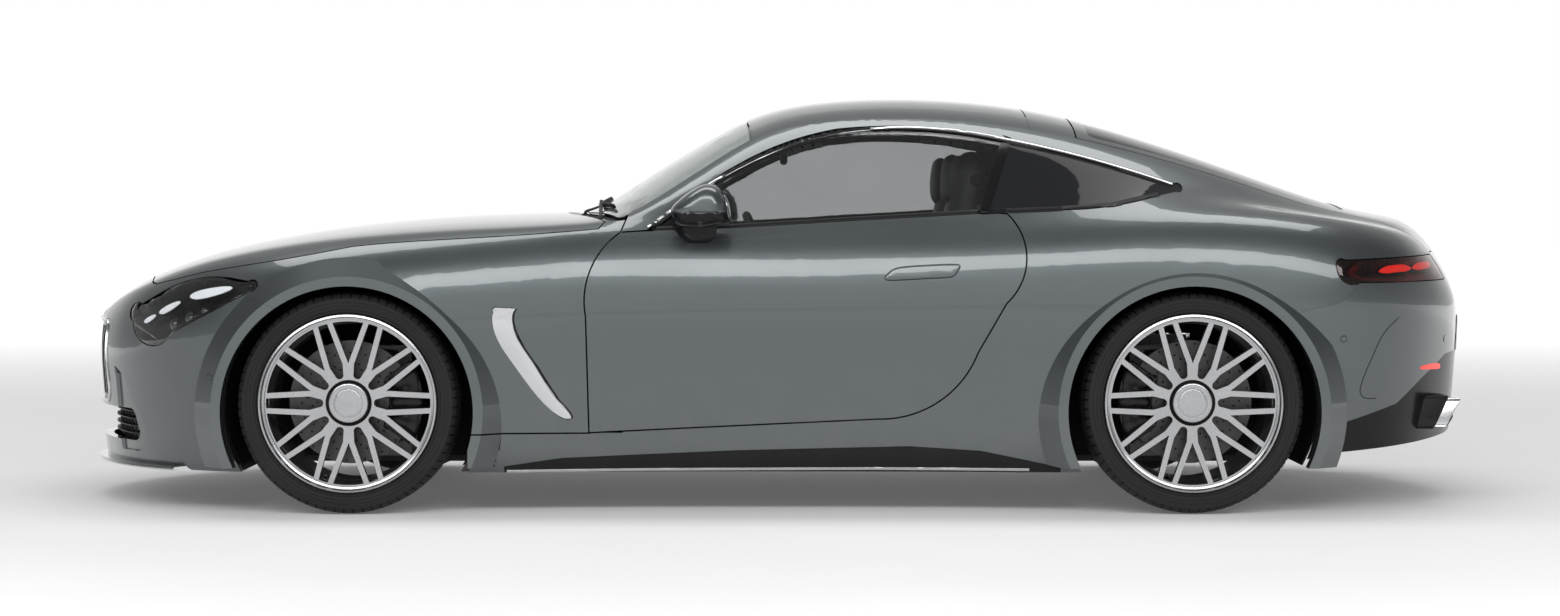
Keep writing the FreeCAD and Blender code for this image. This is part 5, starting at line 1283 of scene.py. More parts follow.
class COUPE_OT_trim(bpy.types.Operator):
    """Sill strips, fender vent blades, sensors, reflectors, wipers and the rear plate"""
    bl_idname = "coupe.trim"
    bl_label = "Outside trim"

    def execute(self, context):
        skin = outer_skin()
        add_pair("sill_strip", strip(skin, "left", SILL_STRIP, 0.0085, 0.003), "bright_trim")
        vent = curve_through(VENT_BLADE, 3)
        add_pair("vent_blade", self.blade(skin, vent, VENT_FACE), "bright_trim")
        # painted shadow: a satin black strip just behind the blade's rear edge
        edge = [(rear - 0.001, rear + 0.005, z) for _, rear, z in vent]
        add_pair("vent_painted_shadow", self.blade(skin, edge, VENT_SHADOW_FACE), "satin_black")
        # painted shade: a thin satin black line along the rear bumper's crease
        crease = curve_through([Vector(p) for p in TAIL_CREASE], 4)
        add_pair("tail_crease_shade", strip(skin, "left", crease, 0.003, 0.0004, 0.001), "satin_black")
        rings, eyes = bmesh.new(), bmesh.new()
        for view, a, b in SENSORS:
            a = -a if view == "rear" else a
            patch(skin, view, disc_outline(a, b, 0.0115), 0.0006, 0.002, 0.01, 0.0006, rings)
            patch(skin, view, disc_outline(a, b, 0.0095), 0.0014, 0.002, 0.01, 0.0014, eyes)
        add_pair("sensor_rings", rings, "satin_black")
        add_pair("sensor_eyes", eyes, "body_paint")
        # painted glow: the rear reflector gets the red lamp glow though it is no lamp
        glow = patch(skin, "rear", ring_through(REFLECTOR), 0.0015, 0.004, 0.02, 0.002)
        add_pair("reflector", glow, "red_glow")
        self.wipers()
        outline = [Vector(p) for p in PLATE]
        border = patch(skin, "rear", inset_outline(outline, -0.006), 0.002, 0.006, 0.03, 0.003)
        add_piece("plate_frame", border, "satin_black")
        add_piece("plate", patch(skin, "rear", outline, 0.0034, 0.003, 0.03, 0.001), "plate_white")
        return {"FINISHED"}

    def blade(self, skin, rows, face):
        """Plate across the fender vent, carried from the smooth skin on both sides of it."""
        rings = []
        for left, right, z in rows:
            start, _ = on_skin(skin, "left", left - VENT_REACH, z)
            stop, _ = on_skin(skin, "left", right + VENT_REACH, z)
            ring = []
            for share, lift in face:
                x = left + (right - left) * share
                base = start.lerp(stop, (x - start.x) / (stop.x - start.x)).y
                here, _ = on_skin(skin, "left", x, z)
                y = min(base - lift, here.y - lift * 0.4) if lift > 0 else base - lift
                ring.append(Vector((x, y, z)))
            rings.append(ring)
        return loft(rings)

    def wipers(self):
        glass = surface_of("windscreen")
        blades, arms = bmesh.new(), bmesh.new()
        for pivot, low, high, drop in WIPERS:
            line = []
            for k in range(9):
                y = low + (high - low) * k / 8
                x = -0.8
                while glass.ray_cast(Vector((x, y, 2.0)), Vector((0, 0, -1)))[0] is None and x < 0:
                    x += 0.004
                line.append((x + 0.035 + 0.05 * (k / 8) ** 2, y))
            strip(glass, "top", line, 0.009, 0.016, -0.003, blades, 0.03, 0.5)
            middle, normal = on_skin(glass, "top", *line[4])
            tip = middle + normal * 0.022
            foot = Vector((line[0][0] - 0.05, pivot, tip.z - drop))
            bend = foot.lerp(tip, 0.35) + Vector((0, 0, 0.012))
            tube(curve_through([foot, foot + Vector((0, 0, 0.02)), bend, tip], 5), 0.0065, 10, arms, 0.6)
        add_piece("wiper_blades", blades, "rubber")
        add_piece("wiper_arms", arms, "satin_black")


def nose_row(skin, z, half, count=31, set_back=0.0):
    """Points across the nose at one height."""
    found = []
    for k in range(count):
        y = -half + 2 * half * k / (count - 1)
        place, _ = on_skin(skin, "front", y, z)
        found.append(Vector((place.x + set_back, y, z)))
    return found


def across_nose(bm, row, z, section):
    """A bar with a section of (x, z) steps, carried across the nose along a row of points."""
    return add_rings(bm, [[Vector((p.x + dx, p.y, z + dz)) for dx, dz in section] for p in row])


GRILLE_RING = ((-0.438, 0.4), (-0.425, 0.345), (-0.36, 0.33), (0.0, 0.329), (0.36, 0.33), (0.425, 0.345),
               (0.438, 0.4), (0.405, 0.555), (0.375, 0.596), (0.32, 0.603), (0.0, 0.606), (-0.32, 0.603),
               (-0.375, 0.596), (-0.405, 0.555))
SLAT = ((0.0, 0.0), (0.018, 0.003), (0.03, 0.008), (0.03, 0.011), (0.016, 0.007), (0.0, 0.004))
WELL = ((0.075, 0.19), (0.082, 0.19), (0.082, 0.34), (0.075, 0.34))
LIP = ((-0.02, 0.0), (-0.026, 0.005), (-0.02, 0.011), (0.03, 0.016), (0.06, 0.014), (0.06, 0.0))
PIPE_SHAPE = ((-0.1, 0.276), (-0.094, 0.265), (-0.08, 0.26), (0.08, 0.26), (0.094, 0.265), (0.1, 0.276),
              (0.08, 0.34), (0.072, 0.351), (0.058, 0.355), (-0.058, 0.355), (-0.072, 0.351), (-0.08, 0.34))
PIPE_MIDDLE = Vector((0.0, 0.309))
PIPE_Y = 0.56
PIPE_LEAN = 0.58                # its end leans forward with height by this slope
# x and scale of each section
TAIL_PIPE = ((2.1, 1.0), (2.215, 1.0), (2.2195, 0.985), (2.219, 0.955), (2.212, 0.94), (2.12, 0.93))
PIPE_INSIDE = ((2.125, 0.935), (2.12, 0.935))
PIPE_SLEEVE = ((2.02, 1.16), (2.172, 1.14), (2.178, 1.1), (2.176, 1.03), (2.14, 1.02))
FIN = ((-0.2, 0.215), (-0.02, 0.232), (0.0, 0.262), (-0.01, 0.33), (-0.06, 0.345), (-0.2, 0.3))


class COUPE_OT_bumpers(bpy.types.Operator):
    """Grille frame, intake slats, splitter lip, tail pipes and diffuser fins"""
    bl_idname = "coupe.bumpers"
    bl_label = "Bumper details"

    def execute(self, context):
        skin = surface_of("front_bumper", "hood", "front_fenders")
        rim = bar_round(skin, "front", ring_through(GRILLE_RING, 4), 0.0055, 0.001, 10)
        add_piece("grille_frame", rim, "bright_trim")
        slats = bmesh.new()
        back = nose_row(skin, 0.33, 0.625, 31, 0.05)
        for k in range(4):
            across_nose(slats, back, 0.228 + 0.024 * k, SLAT)
        for p in back[3:28]:
            rounded_block((p.x + 0.012, p.y - 0.002, 0.212), (p.x + 0.02, p.y + 0.002, 0.318), 0.001, slats,
                          segments=1)
        add_piece("intake_slats", slats, "satin_black")
        add_piece("intake_well", across_nose(bmesh.new(), nose_row(skin, 0.33, 0.66), 0.0, WELL), "lamp_dark")
        lip = across_nose(bmesh.new(), nose_row(skin, 0.175, 0.8, 41), 0.128, LIP)
        add_piece("splitter_lip", lip, "bright_trim")
        self.tail()
        return {"FINISHED"}

    def tail(self):
        outline = ring_through(PIPE_SHAPE)

        def pipe(sections, caps=False):
            rings = [[Vector((x + PIPE_LEAN * (p.y - PIPE_MIDDLE.y),
                              -PIPE_Y + PIPE_MIDDLE.x + (p.x - PIPE_MIDDLE.x) * scale,
                              PIPE_MIDDLE.y + (p.y - PIPE_MIDDLE.y) * scale)) for p in outline]
                     for x, scale in sections]
            return add_rings(bmesh.new(), rings, caps)

        pair = add_pair("tail_pipe", pipe(TAIL_PIPE), "bright_trim")
        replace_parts(pair[0], "exhaust")
        box = rounded_block((1.88, -0.64, 0.19), (2.04, 0.64, 0.31), 0.04)
        for side in (-1, 1):
            tube([(2.03, side * PIPE_Y, 0.285), (2.1, side * PIPE_Y, 0.305)], 0.042, 24, box)
            rounded_block((1.94, side * 0.42 - 0.02, 0.3), (1.97, side * 0.42 + 0.02, 0.558), 0.006, box)
        add_piece("silencer", box, "cast_alloy")
        add_pair("tail_pipe_inside", pipe(PIPE_INSIDE, True), "soot")
        add_pair("tail_pipe_sleeve", pipe(PIPE_SLEEVE), "satin_black")
        skin = surface_of("diffuser", "rear_bumper")
        fins = bmesh.new()
        for y in (-0.3, -0.18, -0.06):
            end = on_skin(skin, "rear", -y, 0.26)[0].x + 0.012
            ring = [Vector((end + dx, y, z)) for dx, z in FIN]
            add_rings(fins, [[p + Vector((0, dy, 0)) for p in ring] for dy in (-0.004, 0.004)])
        add_pair("diffuser_fin", fins, "satin_black")


# ---------- cabin
SEAT_Y = -0.37
REAR_SEAT_Y = -0.235
PAD_VOXEL = 0.0125
PAD_FRAMES = 20
PAD_PRESSURE = 4.0
STITCH_STEP = 0.0075


def pillow(path, widths, thicks, y, power=3.0, sides=28):
    """A soft bar along (x, z) points: rings with rolled corners and rounded ends."""
    rows = evenly(curve_through(path), 0.022)
    count = len(rows)
    wide = [w for w, in curve_through([(w,) for w in widths], 8)]
    deep = [t for t, in curve_through([(t,) for t in thicks], 8)]
    rings = []
    for k, place in enumerate(rows):
        share = k / (count - 1)
        end = min(1.0, 0.45 + 0.75 * (1.0 - (1.0 - min(1.0, 6.0 * min(share, 1 - share))) ** 2))
        half = wide[round(share * (len(wide) - 1))] * end
        thick = deep[round(share * (len(deep) - 1))] * end
        ahead = heading(rows, k)
        ring = []
        for a in turns(sides):
            c, s = math.cos(a), math.sin(a)
            u = math.copysign(abs(c) ** (2 / power), c) * half
            v = math.copysign(abs(s) ** (2 / power), s) * thick
            ring.append(Vector((place.x - ahead.y * v, y + u, place.y + ahead.x * v)))
        rings.append(ring)
    return loft(rings)


def as_drawn(pad):
    """A new mesh of an object as its modifiers leave it."""
    depsgraph = bpy.context.evaluated_depsgraph_get()
    return bpy.data.meshes.new_from_object(pad.evaluated_get(depsgraph))


def swelled(bm, name, cap):
    """The closed form as a blown-up cloth pad, its growth limited."""
    mesh = as_mesh(bm, name, 60.0)
    scene = bpy.context.scene
    pad = bpy.data.objects.new(name + "_blank", mesh)
    scene.collection.objects.link(pad)
    remesh = pad.modifiers.new("remesh", "REMESH")
    remesh.mode = "VOXEL"
    remesh.voxel_size = PAD_VOXEL
    even = as_drawn(pad)
    pad.modifiers.clear()
    pad.data = even
    rest = [v.co.copy() for v in even.vertices]
    cloth = pad.modifiers.new("cloth", "CLOTH")
    cloth.settings.use_pressure = True
    cloth.settings.uniform_pressure_force = PAD_PRESSURE
    cloth.settings.effector_weights.gravity = 0.0
    cloth.settings.quality = 4
    cloth.collision_settings.use_collision = False
    for step in range(1, PAD_FRAMES + 1):
        scene.frame_set(step)
    blown = as_drawn(pad)
    scene.frame_set(1)
    for v, start in zip(blown.vertices, rest):
        moved = v.co - start
        if moved.length > cap:
            v.co = start + moved * (cap / moved.length)
    bpy.data.objects.remove(pad)
    for face in blown.polygons:
        face.use_smooth = True
    return blown


def pad_pair(name, bm, cap):
    """A swollen form and its mirror image as padded pieces of leather."""
    pair = mirror_pair(name, swelled(bm, name, cap), "leather", "body")
    for piece in pair:
        smooth = piece.modifiers.new("smooth", "SUBSURF")
        smooth.levels = smooth.render_levels = 1
    return pair


def pads_of(table, y):
    """The pads of a seat at y, each as its left piece."""
    found = {}
    for name, path, widths, thicks, off, cap in table:
        found[name], _ = pad_pair(name, pillow(path, widths, thicks, y + off), cap)
    return found


def stitches(piece, line, bm, push=0.0012):
    """Short raised stitches laid along a row of points on a pad."""
    skin = skin_tree([piece.data])
    row = evenly(line, STITCH_STEP)
    for a, b in zip(row, row[1:]):
        ends = []
        for p in (a.lerp(b, 0.15), a.lerp(b, 0.72)):
            place, normal, _, _ = skin.find_nearest(p)
            ends.append(place + normal * push)
        tube(ends, 0.0009, 5, bm)


BOLSTER = (((0.352, 0.4), (0.398, 0.56), (0.47, 0.76), (0.536, 0.935)), (0.05, 0.055, 0.055, 0.038),
           (0.044, 0.052, 0.048, 0.026))
THIGH = (((-0.115, 0.33), (0.02, 0.358), (0.2, 0.366), (0.345, 0.362)), (0.044, 0.048, 0.05, 0.046),
         (0.046, 0.052, 0.054, 0.05))
# name, (x, z) path, half widths, half thicknesses, y from the seat's middle, most growth
FRONT_PADS = (
    ("seat_shell", ((0.425, 0.335), (0.505, 0.55), (0.575, 0.78), (0.618, 0.94), (0.645, 1.06),
                    (0.64, 1.172)),
     (0.215, 0.235, 0.245, 0.232, 0.175, 0.14), (0.042, 0.042, 0.038, 0.05, 0.06, 0.052), 0.0, 0.006),
    ("seat_back", ((0.372, 0.405), (0.432, 0.58), (0.512, 0.79), (0.553, 0.925)),
     (0.125, 0.135, 0.135, 0.115), (0.026, 0.026, 0.024, 0.02), 0.0, 0.012),
    ("seat_bolster_a", *BOLSTER, -0.185, 0.01),
    ("seat_bolster_b", *BOLSTER, 0.185, 0.01),
    ("seat_head", ((0.575, 0.985), (0.58, 1.06), (0.582, 1.16)), (0.108, 0.124, 0.11), (0.026, 0.032, 0.026),
     0.0, 0.01),
    ("seat_cushion", ((-0.13, 0.335), (-0.02, 0.35), (0.16, 0.343), (0.335, 0.332)),
     (0.128, 0.138, 0.14, 0.13), (0.036, 0.04, 0.04, 0.036), 0.0, 0.014),
    ("seat_thigh_a", *THIGH, -0.195, 0.008),
    ("seat_thigh_b", *THIGH, 0.195, 0.008))
REAR_PADS = (
    ("rear_cushion", ((0.715, 0.368), (0.8, 0.366), (0.885, 0.35)), (0.17, 0.182, 0.172),
     (0.034, 0.04, 0.036), 0.0, 0.01),
    ("rear_back", ((0.925, 0.37), (0.93, 0.6), (0.94, 0.865)), (0.165, 0.18, 0.16),
     (0.028, 0.032, 0.026), 0.0, 0.01))
# seams as (x, share of the seam's distance from the middle, z)
BACK_SEAM = ((0.34, 1.0, 0.42), (0.4, 1.0, 0.58), (0.48, 1.0, 0.79), (0.53, 0.9, 0.905))
CUSHION_SEAM = ((-0.1, 1.0, 0.4), (0.02, 1.0, 0.41), (0.16, 1.0, 0.41), (0.3, 1.0, 0.39))
BOLSTER_SEAM = ((0.32, 1.0, 0.44), (0.37, 1.0, 0.58), (0.44, 1.0, 0.76), (0.5, 0.93, 0.9))
REAR_SEAM = ((0.72, 1.0, 0.42), (0.8, 1.0, 0.42), (0.87, 1.0, 0.4))
SHELL_MARK = ((0.53, -0.64, 0.83), (0.575, -0.6, 0.94), (0.61, -0.64, 0.83), (0.53, -0.64, 0.83))


def sew(piece, seam, y, off, bm):
    stitches(piece, [(x, y + off * share, z) for x, share, z in seam], bm)


class COUPE_OT_front_seats(bpy.types.Operator):
    """Front seats: shell, cushions, bolsters, head pad, seams and base"""
    bl_idname = "coupe.front_seats"
    bl_label = "Front seats"

    def execute(self, context):
        pads = pads_of(FRONT_PADS, SEAT_Y)
        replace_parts(pads["seat_shell"], "front_seats")
        seams = bmesh.new()
        for off in (-0.122, -0.06, 0.0, 0.06, 0.122):
            sew(pads["seat_back"], BACK_SEAM, SEAT_Y, off, seams)
            sew(pads["seat_cushion"], CUSHION_SEAM, SEAT_Y, off, seams)
        sew(pads["seat_bolster_a"], BOLSTER_SEAM, SEAT_Y, -0.222, seams)
        sew(pads["seat_bolster_b"], BOLSTER_SEAM, SEAT_Y, 0.222, seams)
        stitches(pads["seat_shell"], SHELL_MARK, seams)
        add_pair("seat_stitching", seams, "stitching")
        grommets, base = bmesh.new(), bmesh.new()
        for side in (-1, 1):
            turned(((0.0, -0.004), (0.018, -0.004), (0.021, 0.0), (0.021, 0.003), (0.017, 0.006),
                    (0.0, 0.006)),
                   Vector((0.655, SEAT_Y + side * 0.172, 1.07)), 32, grommets)
            for x0, x1, middle, half, z0, z1, radius in ((-0.1, 0.36, 0.235, 0.018, 0.232, 0.318, 0.014),
                                                         (-0.14, 0.42, 0.17, 0.022, 0.153, 0.178, 0.006)):
                y = SEAT_Y + side * middle
                rounded_block((x0, y - half, z0), (x1, y + half, z1), radius, base)
        rounded_block((-0.06, SEAT_Y - 0.215, 0.18), (0.34, SEAT_Y + 0.215, 0.285), 0.018, base)
        add_pair("seat_grommets", grommets, "leather_dark")
        add_pair("seat_base", base, "cabin_plastic")
        return {"FINISHED"}


class COUPE_OT_rear_seats(bpy.types.Operator):
    """Two small rear seats with their backs and bench"""
    bl_idname = "coupe.rear_seats"
    bl_label = "Rear seats"

    def execute(self, context):
        pads = pads_of(REAR_PADS, REAR_SEAT_Y)
        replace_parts(pads["rear_cushion"], "rear_seats")
        seams = bmesh.new()
        for off in (-0.1, 0.0, 0.1):
            sew(pads["rear_cushion"], REAR_SEAM, REAR_SEAT_Y, off, seams)
        add_pair("rear_stitching", seams, "stitching")
        bench = bmesh.new()
        rounded_block((0.69, -0.46, 0.155), (0.955, -0.02, 0.33), 0.02, bench)
        rounded_block((0.62, -0.66, 0.33), (0.955, -0.47, 0.52), 0.03, bench)
        add_pair("rear_bench", bench, "leather_dark")
        return {"FINISHED"}


WHEEL_MIDDLE = Vector((-0.04, -0.37, 0.8))
WHEEL_TILT = math.radians(24.0)
WHEEL_RADIUS = 0.165
SEAM_RADIUS = 0.151
RIM_STEPS = 72
SEAM_STITCHES = 120
# degrees from the top, half width
SPOKES = ((90, 0.017), (-90, 0.017), (168, 0.011), (-168, 0.011))
# depth towards the driver, scale of the centre pad
PAD_SLICES = ((-0.05, 0.8), (-0.03, 1.0), (-0.004, 1.0), (0.012, 0.92), (0.02, 0.7), (0.024, 0.3))
PAD_RADIUS = 0.062


def on_wheel(radius, angle, depth=0.0):
    """A point in the steering wheel's plane: angle from the top, clockwise as the driver sees it."""
    axis = Vector((math.cos(WHEEL_TILT), 0, math.sin(WHEEL_TILT)))
    rise = Vector((-math.sin(WHEEL_TILT), 0, math.cos(WHEEL_TILT)))
    return (WHEEL_MIDDLE + Vector((0, 1, 0)) * radius * math.sin(angle) + rise * radius * math.cos(angle)
            + axis * depth)


def flattened(radius, angle):
    """The rim's radius, drawn in along its flat bottom."""
    return radius - max(0.0, -math.cos(angle) - 0.8) * 0.1


class COUPE_OT_steering(bpy.types.Operator):
    """Steering wheel: leather rim, spokes, centre pad and stitching"""
    bl_idname = "coupe.steering"
    bl_label = "Steering wheel"

    def execute(self, context):
        rides = body_of(NODES["steering_wheel"])
        rides = rides if isinstance(rides, str) else rides[0]
        ring = [on_wheel(flattened(WHEEL_RADIUS, a), a) for a in turns(RIM_STEPS)]
        rim = tube(ring + ring[:1], 0.0145, 16, caps=False)
        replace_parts(add_piece("steering_rim", rim, "leather_dark", rides, 60.0), "steering_wheel")
        spokes, seam = bmesh.new(), bmesh.new()
        for angle, width in SPOKES:
            a = math.radians(angle)
            tube([on_wheel(0.03, a, -0.004), on_wheel(0.09, a, -0.006), on_wheel(0.155, a, 0.0)],
                 [width * 1.5, width * 1.1, width], 14, spokes, 0.45)
        add_piece("steering_spokes", spokes, "bright_trim", rides)
        hub = loft([[on_wheel(PAD_RADIUS * scale * (1 + 0.1 * abs(math.sin(a))), a, depth) for a in turns(40)]
                    for depth, scale in PAD_SLICES])
        tube([on_wheel(0.0, 0.0, -0.05), on_wheel(0.0, 0.0, -0.1)], 0.018, 20, hub)
        add_piece("steering_pad", hub, "cabin_plastic", rides)
        for k in range(SEAM_STITCHES):
            stitch = [2 * math.pi * (k + share) / SEAM_STITCHES for share in (0.2, 0.7)]
            tube([on_wheel(flattened(SEAM_RADIUS, a), a, 0.0045) for a in stitch], 0.001, 5, seam)
        add_piece("steering_stitching", seam, "stitching", rides)
        return {"FINISHED"}


# sections of the dashboard's lofts as (x, z)
CRASH_PAD = ((-0.56, 0.893), (-0.47, 0.899), (-0.385, 0.884), (-0.315, 0.846), (-0.288, 0.822),
             (-0.294, 0.8), (-0.34, 0.82), (-0.56, 0.872))
BAND = ((-0.292, 0.798), (-0.2805, 0.792), (-0.285, 0.756), (-0.3, 0.75))
# x, share of height
BINNACLE = ((-0.46, 0.35), (-0.4, 0.8), (-0.345, 1.0), (-0.315, 1.0), (-0.3, 0.93))
CONSOLE = ((-0.225, 0.522), (-0.05, 0.506), (0.12, 0.494))
# edge of the console deck: y, drop below its top
CONSOLE_EDGE = ((-0.1, 0.006), (-0.09, 0.0), (0.09, 0.0), (0.1, 0.006), (0.1, 0.018), (-0.1, 0.018))
# air outlets: middle, radius
VENTS = (((-0.283, -0.6, 0.772), 0.04), ((-0.283, 0.6, 0.772), 0.04), ((-0.272, -0.105, 0.81), 0.034),
         ((-0.272, 0.0, 0.81), 0.034), ((-0.272, 0.105, 0.81), 0.034))


def vent_at(place, radius, shell, blades):
    """A round air outlet that faces the cabin."""
    inner = radius * 0.8
    ring = turned(((inner, -0.02), (inner, 0.002), (radius * 0.88, 0.008), (radius, 0.006),
                   (radius * 1.02, -0.002), (radius * 1.02, -0.02)), (0, 0, 0), 40)
    pour(ring, shell, Matrix.Translation(place) @ Matrix.Rotation(math.radians(-90), 4, "Z"))
    for k in range(5):
        z = radius * 0.62 * (k - 2) / 2
        half = math.sqrt(max(0.0, inner ** 2 - z * z))
        rounded_block(place + Vector((-0.014, -half, z - 0.0012)), place + Vector((0.0, half, z + 0.0012)),
                      0.001, blades, segments=1)


class COUPE_OT_dashboard(bpy.types.Operator):
    """Dashboard: crash pad, binnacle, screens, vents, console and gear pad"""
    bl_idname = "coupe.dashboard"
    bl_label = "Dashboard"

    def execute(self, context):
        top = loft([[Vector((x, y, z + 0.006 * (1 - (y / 0.66) ** 2))) for x, z in CRASH_PAD]
                    for y in [0.66 * (k - 15) / 15 for k in range(31)]])
        add_piece("dash_pad", top, "leather_dark")
        band = loft([[Vector((x, y, z)) for x,
                      z in BAND] for y in [0.655 * (k - 10) / 10 for k in range(21)]])
        add_piece("dash_band", band, "gloss_black")
        arch = [math.pi * k / 20 for k in range(21)]
        cowl = loft([[Vector((x, SEAT_Y + 0.185 * math.cos(a),
                              0.868 + 0.075 * math.sin(a) * s)) for a in arch]
                     for x, s in BINNACLE])
        add_piece("binnacle", cowl, "leather_dark")
        dials = rounded_block((-0.327, SEAT_Y - 0.15, 0.828), (-0.31, SEAT_Y + 0.15, 0.925), 0.006)
        add_piece("dial_screen", dials, "screen_glass")
        turn = Matrix.Rotation(math.radians(-28), 3, "Y")
        screen = rounded_block((-0.292, -0.115, 0.6), (-0.276, 0.115, 0.86), 0.006, None, turn)
        add_piece("centre_screen", screen, "screen_glass")
        shell, blades = bmesh.new(), bmesh.new()
        for place, radius in VENTS:
            vent_at(Vector(place), radius, shell, blades)
        add_piece("vents", shell, "bright_trim")
        add_piece("vent_blades", blades, "satin_black")
        deck = loft([[Vector((x, y, top - drop)) for y, drop in CONSOLE_EDGE] for x, top in CONSOLE])
        add_piece("console_deck", deck, "gloss_black")
        arm = pillow(((0.15, 0.492), (0.3, 0.496), (0.46, 0.484)), (0.088, 0.092, 0.088),
                     (0.022, 0.026, 0.02), 0.0)
        rest = link_piece("arm_rest", swelled(arm, "arm_rest", 0.006), "leather_dark")
        controls = rounded_block((-0.02, -0.03, 0.5), (0.055, 0.03, 0.528), 0.012)
        for y in (-0.045, 0.045):
            rounded_block((-0.14, y - 0.034, 0.51), (-0.07, y + 0.034, 0.52), 0.004, controls)
        add_piece("console_controls", controls, "satin_black")
        return {"FINISHED"}


DOOR_CARD = ((-0.4, 0.42), (-0.42, 0.66), (-0.36, 0.845), (0.0, 0.868), (0.56, 0.895), (0.6, 0.7),
             (0.52, 0.46), (0.1, 0.385))
DOOR_REST = ((-0.2, 0.62), (-0.16, 0.668), (0.1, 0.676), (0.46, 0.69), (0.5, 0.65), (0.3, 0.615))
DOOR_PULL = ((-0.16, 0.008), (-0.12, 0.03), (-0.02, 0.03), (0.02, 0.008))    # x, stand-off from the door
PULL_Z = 0.745
# half of the headlining's and hood felt's outlines from the front middle back, as (x, y)
HEADLINING = ((-0.05, 0.0), (-0.04, 0.4), (0.02, 0.53), (0.3, 0.535), (0.9, 0.52), (0.98, 0.4), (0.99, 0.0))
HOOD_FELT = ((-1.75, 0.0), (-1.7, 0.42), (-1.45, 0.62), (-1.0, 0.7), (-0.72, 0.66), (-0.76, 0.3), (-0.8, 0.0))
# floor mats: x and y from and to
MATS = ((-0.66, -0.14, -0.66, -0.125), (0.4, 0.685, -0.66, -0.02))
FLOOR_Z = 0.153


def whole(half):
    """A closed outline from half of it and its mirror image."""
    return [*half, *((x, -y) for x, y in reversed(half[1:-1]))]


class COUPE_OT_lining(bpy.types.Operator):
    """Door cards, headlining, carpets, rear-view mirror and pedals"""
    bl_idname = "coupe.lining"
    bl_label = "Cabin lining"

    def execute(self, context):
        skin = surface_of("door_left")
        deep = self.depth(skin, 0.1, 0.7) + 0.003
        card = patch(skin, "left", ring_through(DOOR_CARD, 4), -deep, 0.01, 0.03, 0.006)
        add_pair("door_card", card, "leather_dark", ON_DOOR)
        rest = patch(skin, "left", ring_through(DOOR_REST, 4), -deep - 0.01, 0.045, 0.03, 0.004)
        add_pair("door_rest", rest, "cabin_plastic", ON_DOOR)
        grip = [on_skin(skin, "left", x, PULL_Z)[0] + Vector((0, deep + off, 0)) for x, off in DOOR_PULL]
        add_pair("door_pull", tube(curve_through(grip, 5), 0.007, 10), "bright_trim", ON_DOOR)
        lining = patch(outer_skin(), "top", ring_through(whole(HEADLINING)), -0.045, 0.006, 0.06, 0.01)
        add_piece("headlining", lining, "lining")
        self.mirror()
        self.floor()
        return {"FINISHED"}

    def depth(self, skin, x, z):
        """How far inside the outer skin the inner face of the door lies."""
        first, _, _, _ = skin.ray_cast(Vector((x, -FAR, z)), Vector((0, 1, 0)))
        last, _, _, _ = skin.ray_cast(Vector((x, 0.0, z)), Vector((0, -1, 0)))
        return last.y - first.y

    def mirror(self):
        mirror = rounded_block((0.005, -0.125, 1.128), (0.03, 0.125, 1.186), 0.012)
        add_piece("rear_view_mirror", mirror, "satin_black")
        glass = rounded_block((0.0285, -0.115, 1.135), (0.0315, 0.115, 1.179), 0.0014)
        add_piece("rear_view_glass", glass, "mirror_glass")
        stem = tube(curve_through([(-0.075, 0.0, 1.192), (-0.03, 0.0, 1.19), (0.012, 0.0, 1.158)], 5), 0.01)
        add_piece("rear_view_stem", stem, "satin_black")
        pod = rounded_block((-0.135, -0.07, 1.15), (-0.07, 0.07, 1.182), 0.012, None,
                            Matrix.Rotation(math.radians(-22), 3, "Y"))
        add_piece("sensor_pod", pod, "satin_black")

    def floor(self):
        mats, pedals = bmesh.new(), bmesh.new()
        for x0, x1, y0, y1 in MATS:
            rounded_block((x0, y0, FLOOR_Z), (x1, y1, FLOOR_Z + 0.014), 0.006, mats)
            rounded_block((x0 + 0.02, y0 + 0.02, FLOOR_Z + 0.013), (x1 - 0.02, y1 - 0.02, FLOOR_Z + 0.02),
                          0.004, mats)
        rounded_block((-0.684, -0.66, 0.16), (-0.67, -0.11, 0.58), 0.006, mats)
        add_pair("carpets", mats, "carpet")
        for y, half in ((-0.31, 0.03), (-0.46, 0.024)):
            rounded_block((-0.6, y - half, 0.215), (-0.588, y + half, 0.3), 0.004, pedals)
            tube([(-0.585, y, 0.29), (-0.62, y, 0.4), (-0.668, y, 0.5)], 0.008, 10, pedals)
        add_piece("pedals", pedals, "satin_black")
        boot = rounded_block((1.0, -0.45, 0.573), (1.9, 0.45, 0.59), 0.008)
        add_piece("luggage_carpet", boot, "carpet")


# ---------- engine bay
# pulleys on the engine's face: height above its foot, radius
PULLEYS = ((0.1, 0.085), (0.27, 0.055), (0.4, 0.045))
HEAD_HALF = Vector((0.29, 0.085, 0.085))
HEAD_TILT = math.radians(38)
# boxes of the bay and its radiator: low corner, high corner, rounding
BAY_BOXES = (((-1.3, -0.5, 0.56), (-1.02, -0.335, 0.735), 0.02),
             ((-1.0, -0.48, 0.56), (-0.8, -0.32, 0.7), 0.012),
             ((-1.888, -0.6, 0.19), (-1.88, 0.6, 0.655), 0.003))
RADIATOR = ((-1.935, -0.42, 0.3), (-1.89, 0.42, 0.6), 0.008)
AIR_PIPE = ((-1.3, -0.42, 0.66), (-1.52, -0.38, 0.65), (-1.66, -0.28, 0.6), (-1.8, -0.22, 0.56))
THROTTLE_PIPE = ((-1.02, -0.4, 0.66), (-0.94, -0.34, 0.7), (-1.0, -0.2, 0.72))
STRUT_BRACE = ((-0.98, -0.47, 0.765), (-0.98, -0.2, 0.8), (-0.98, 0.2, 0.8), (-0.98, 0.47, 0.765))


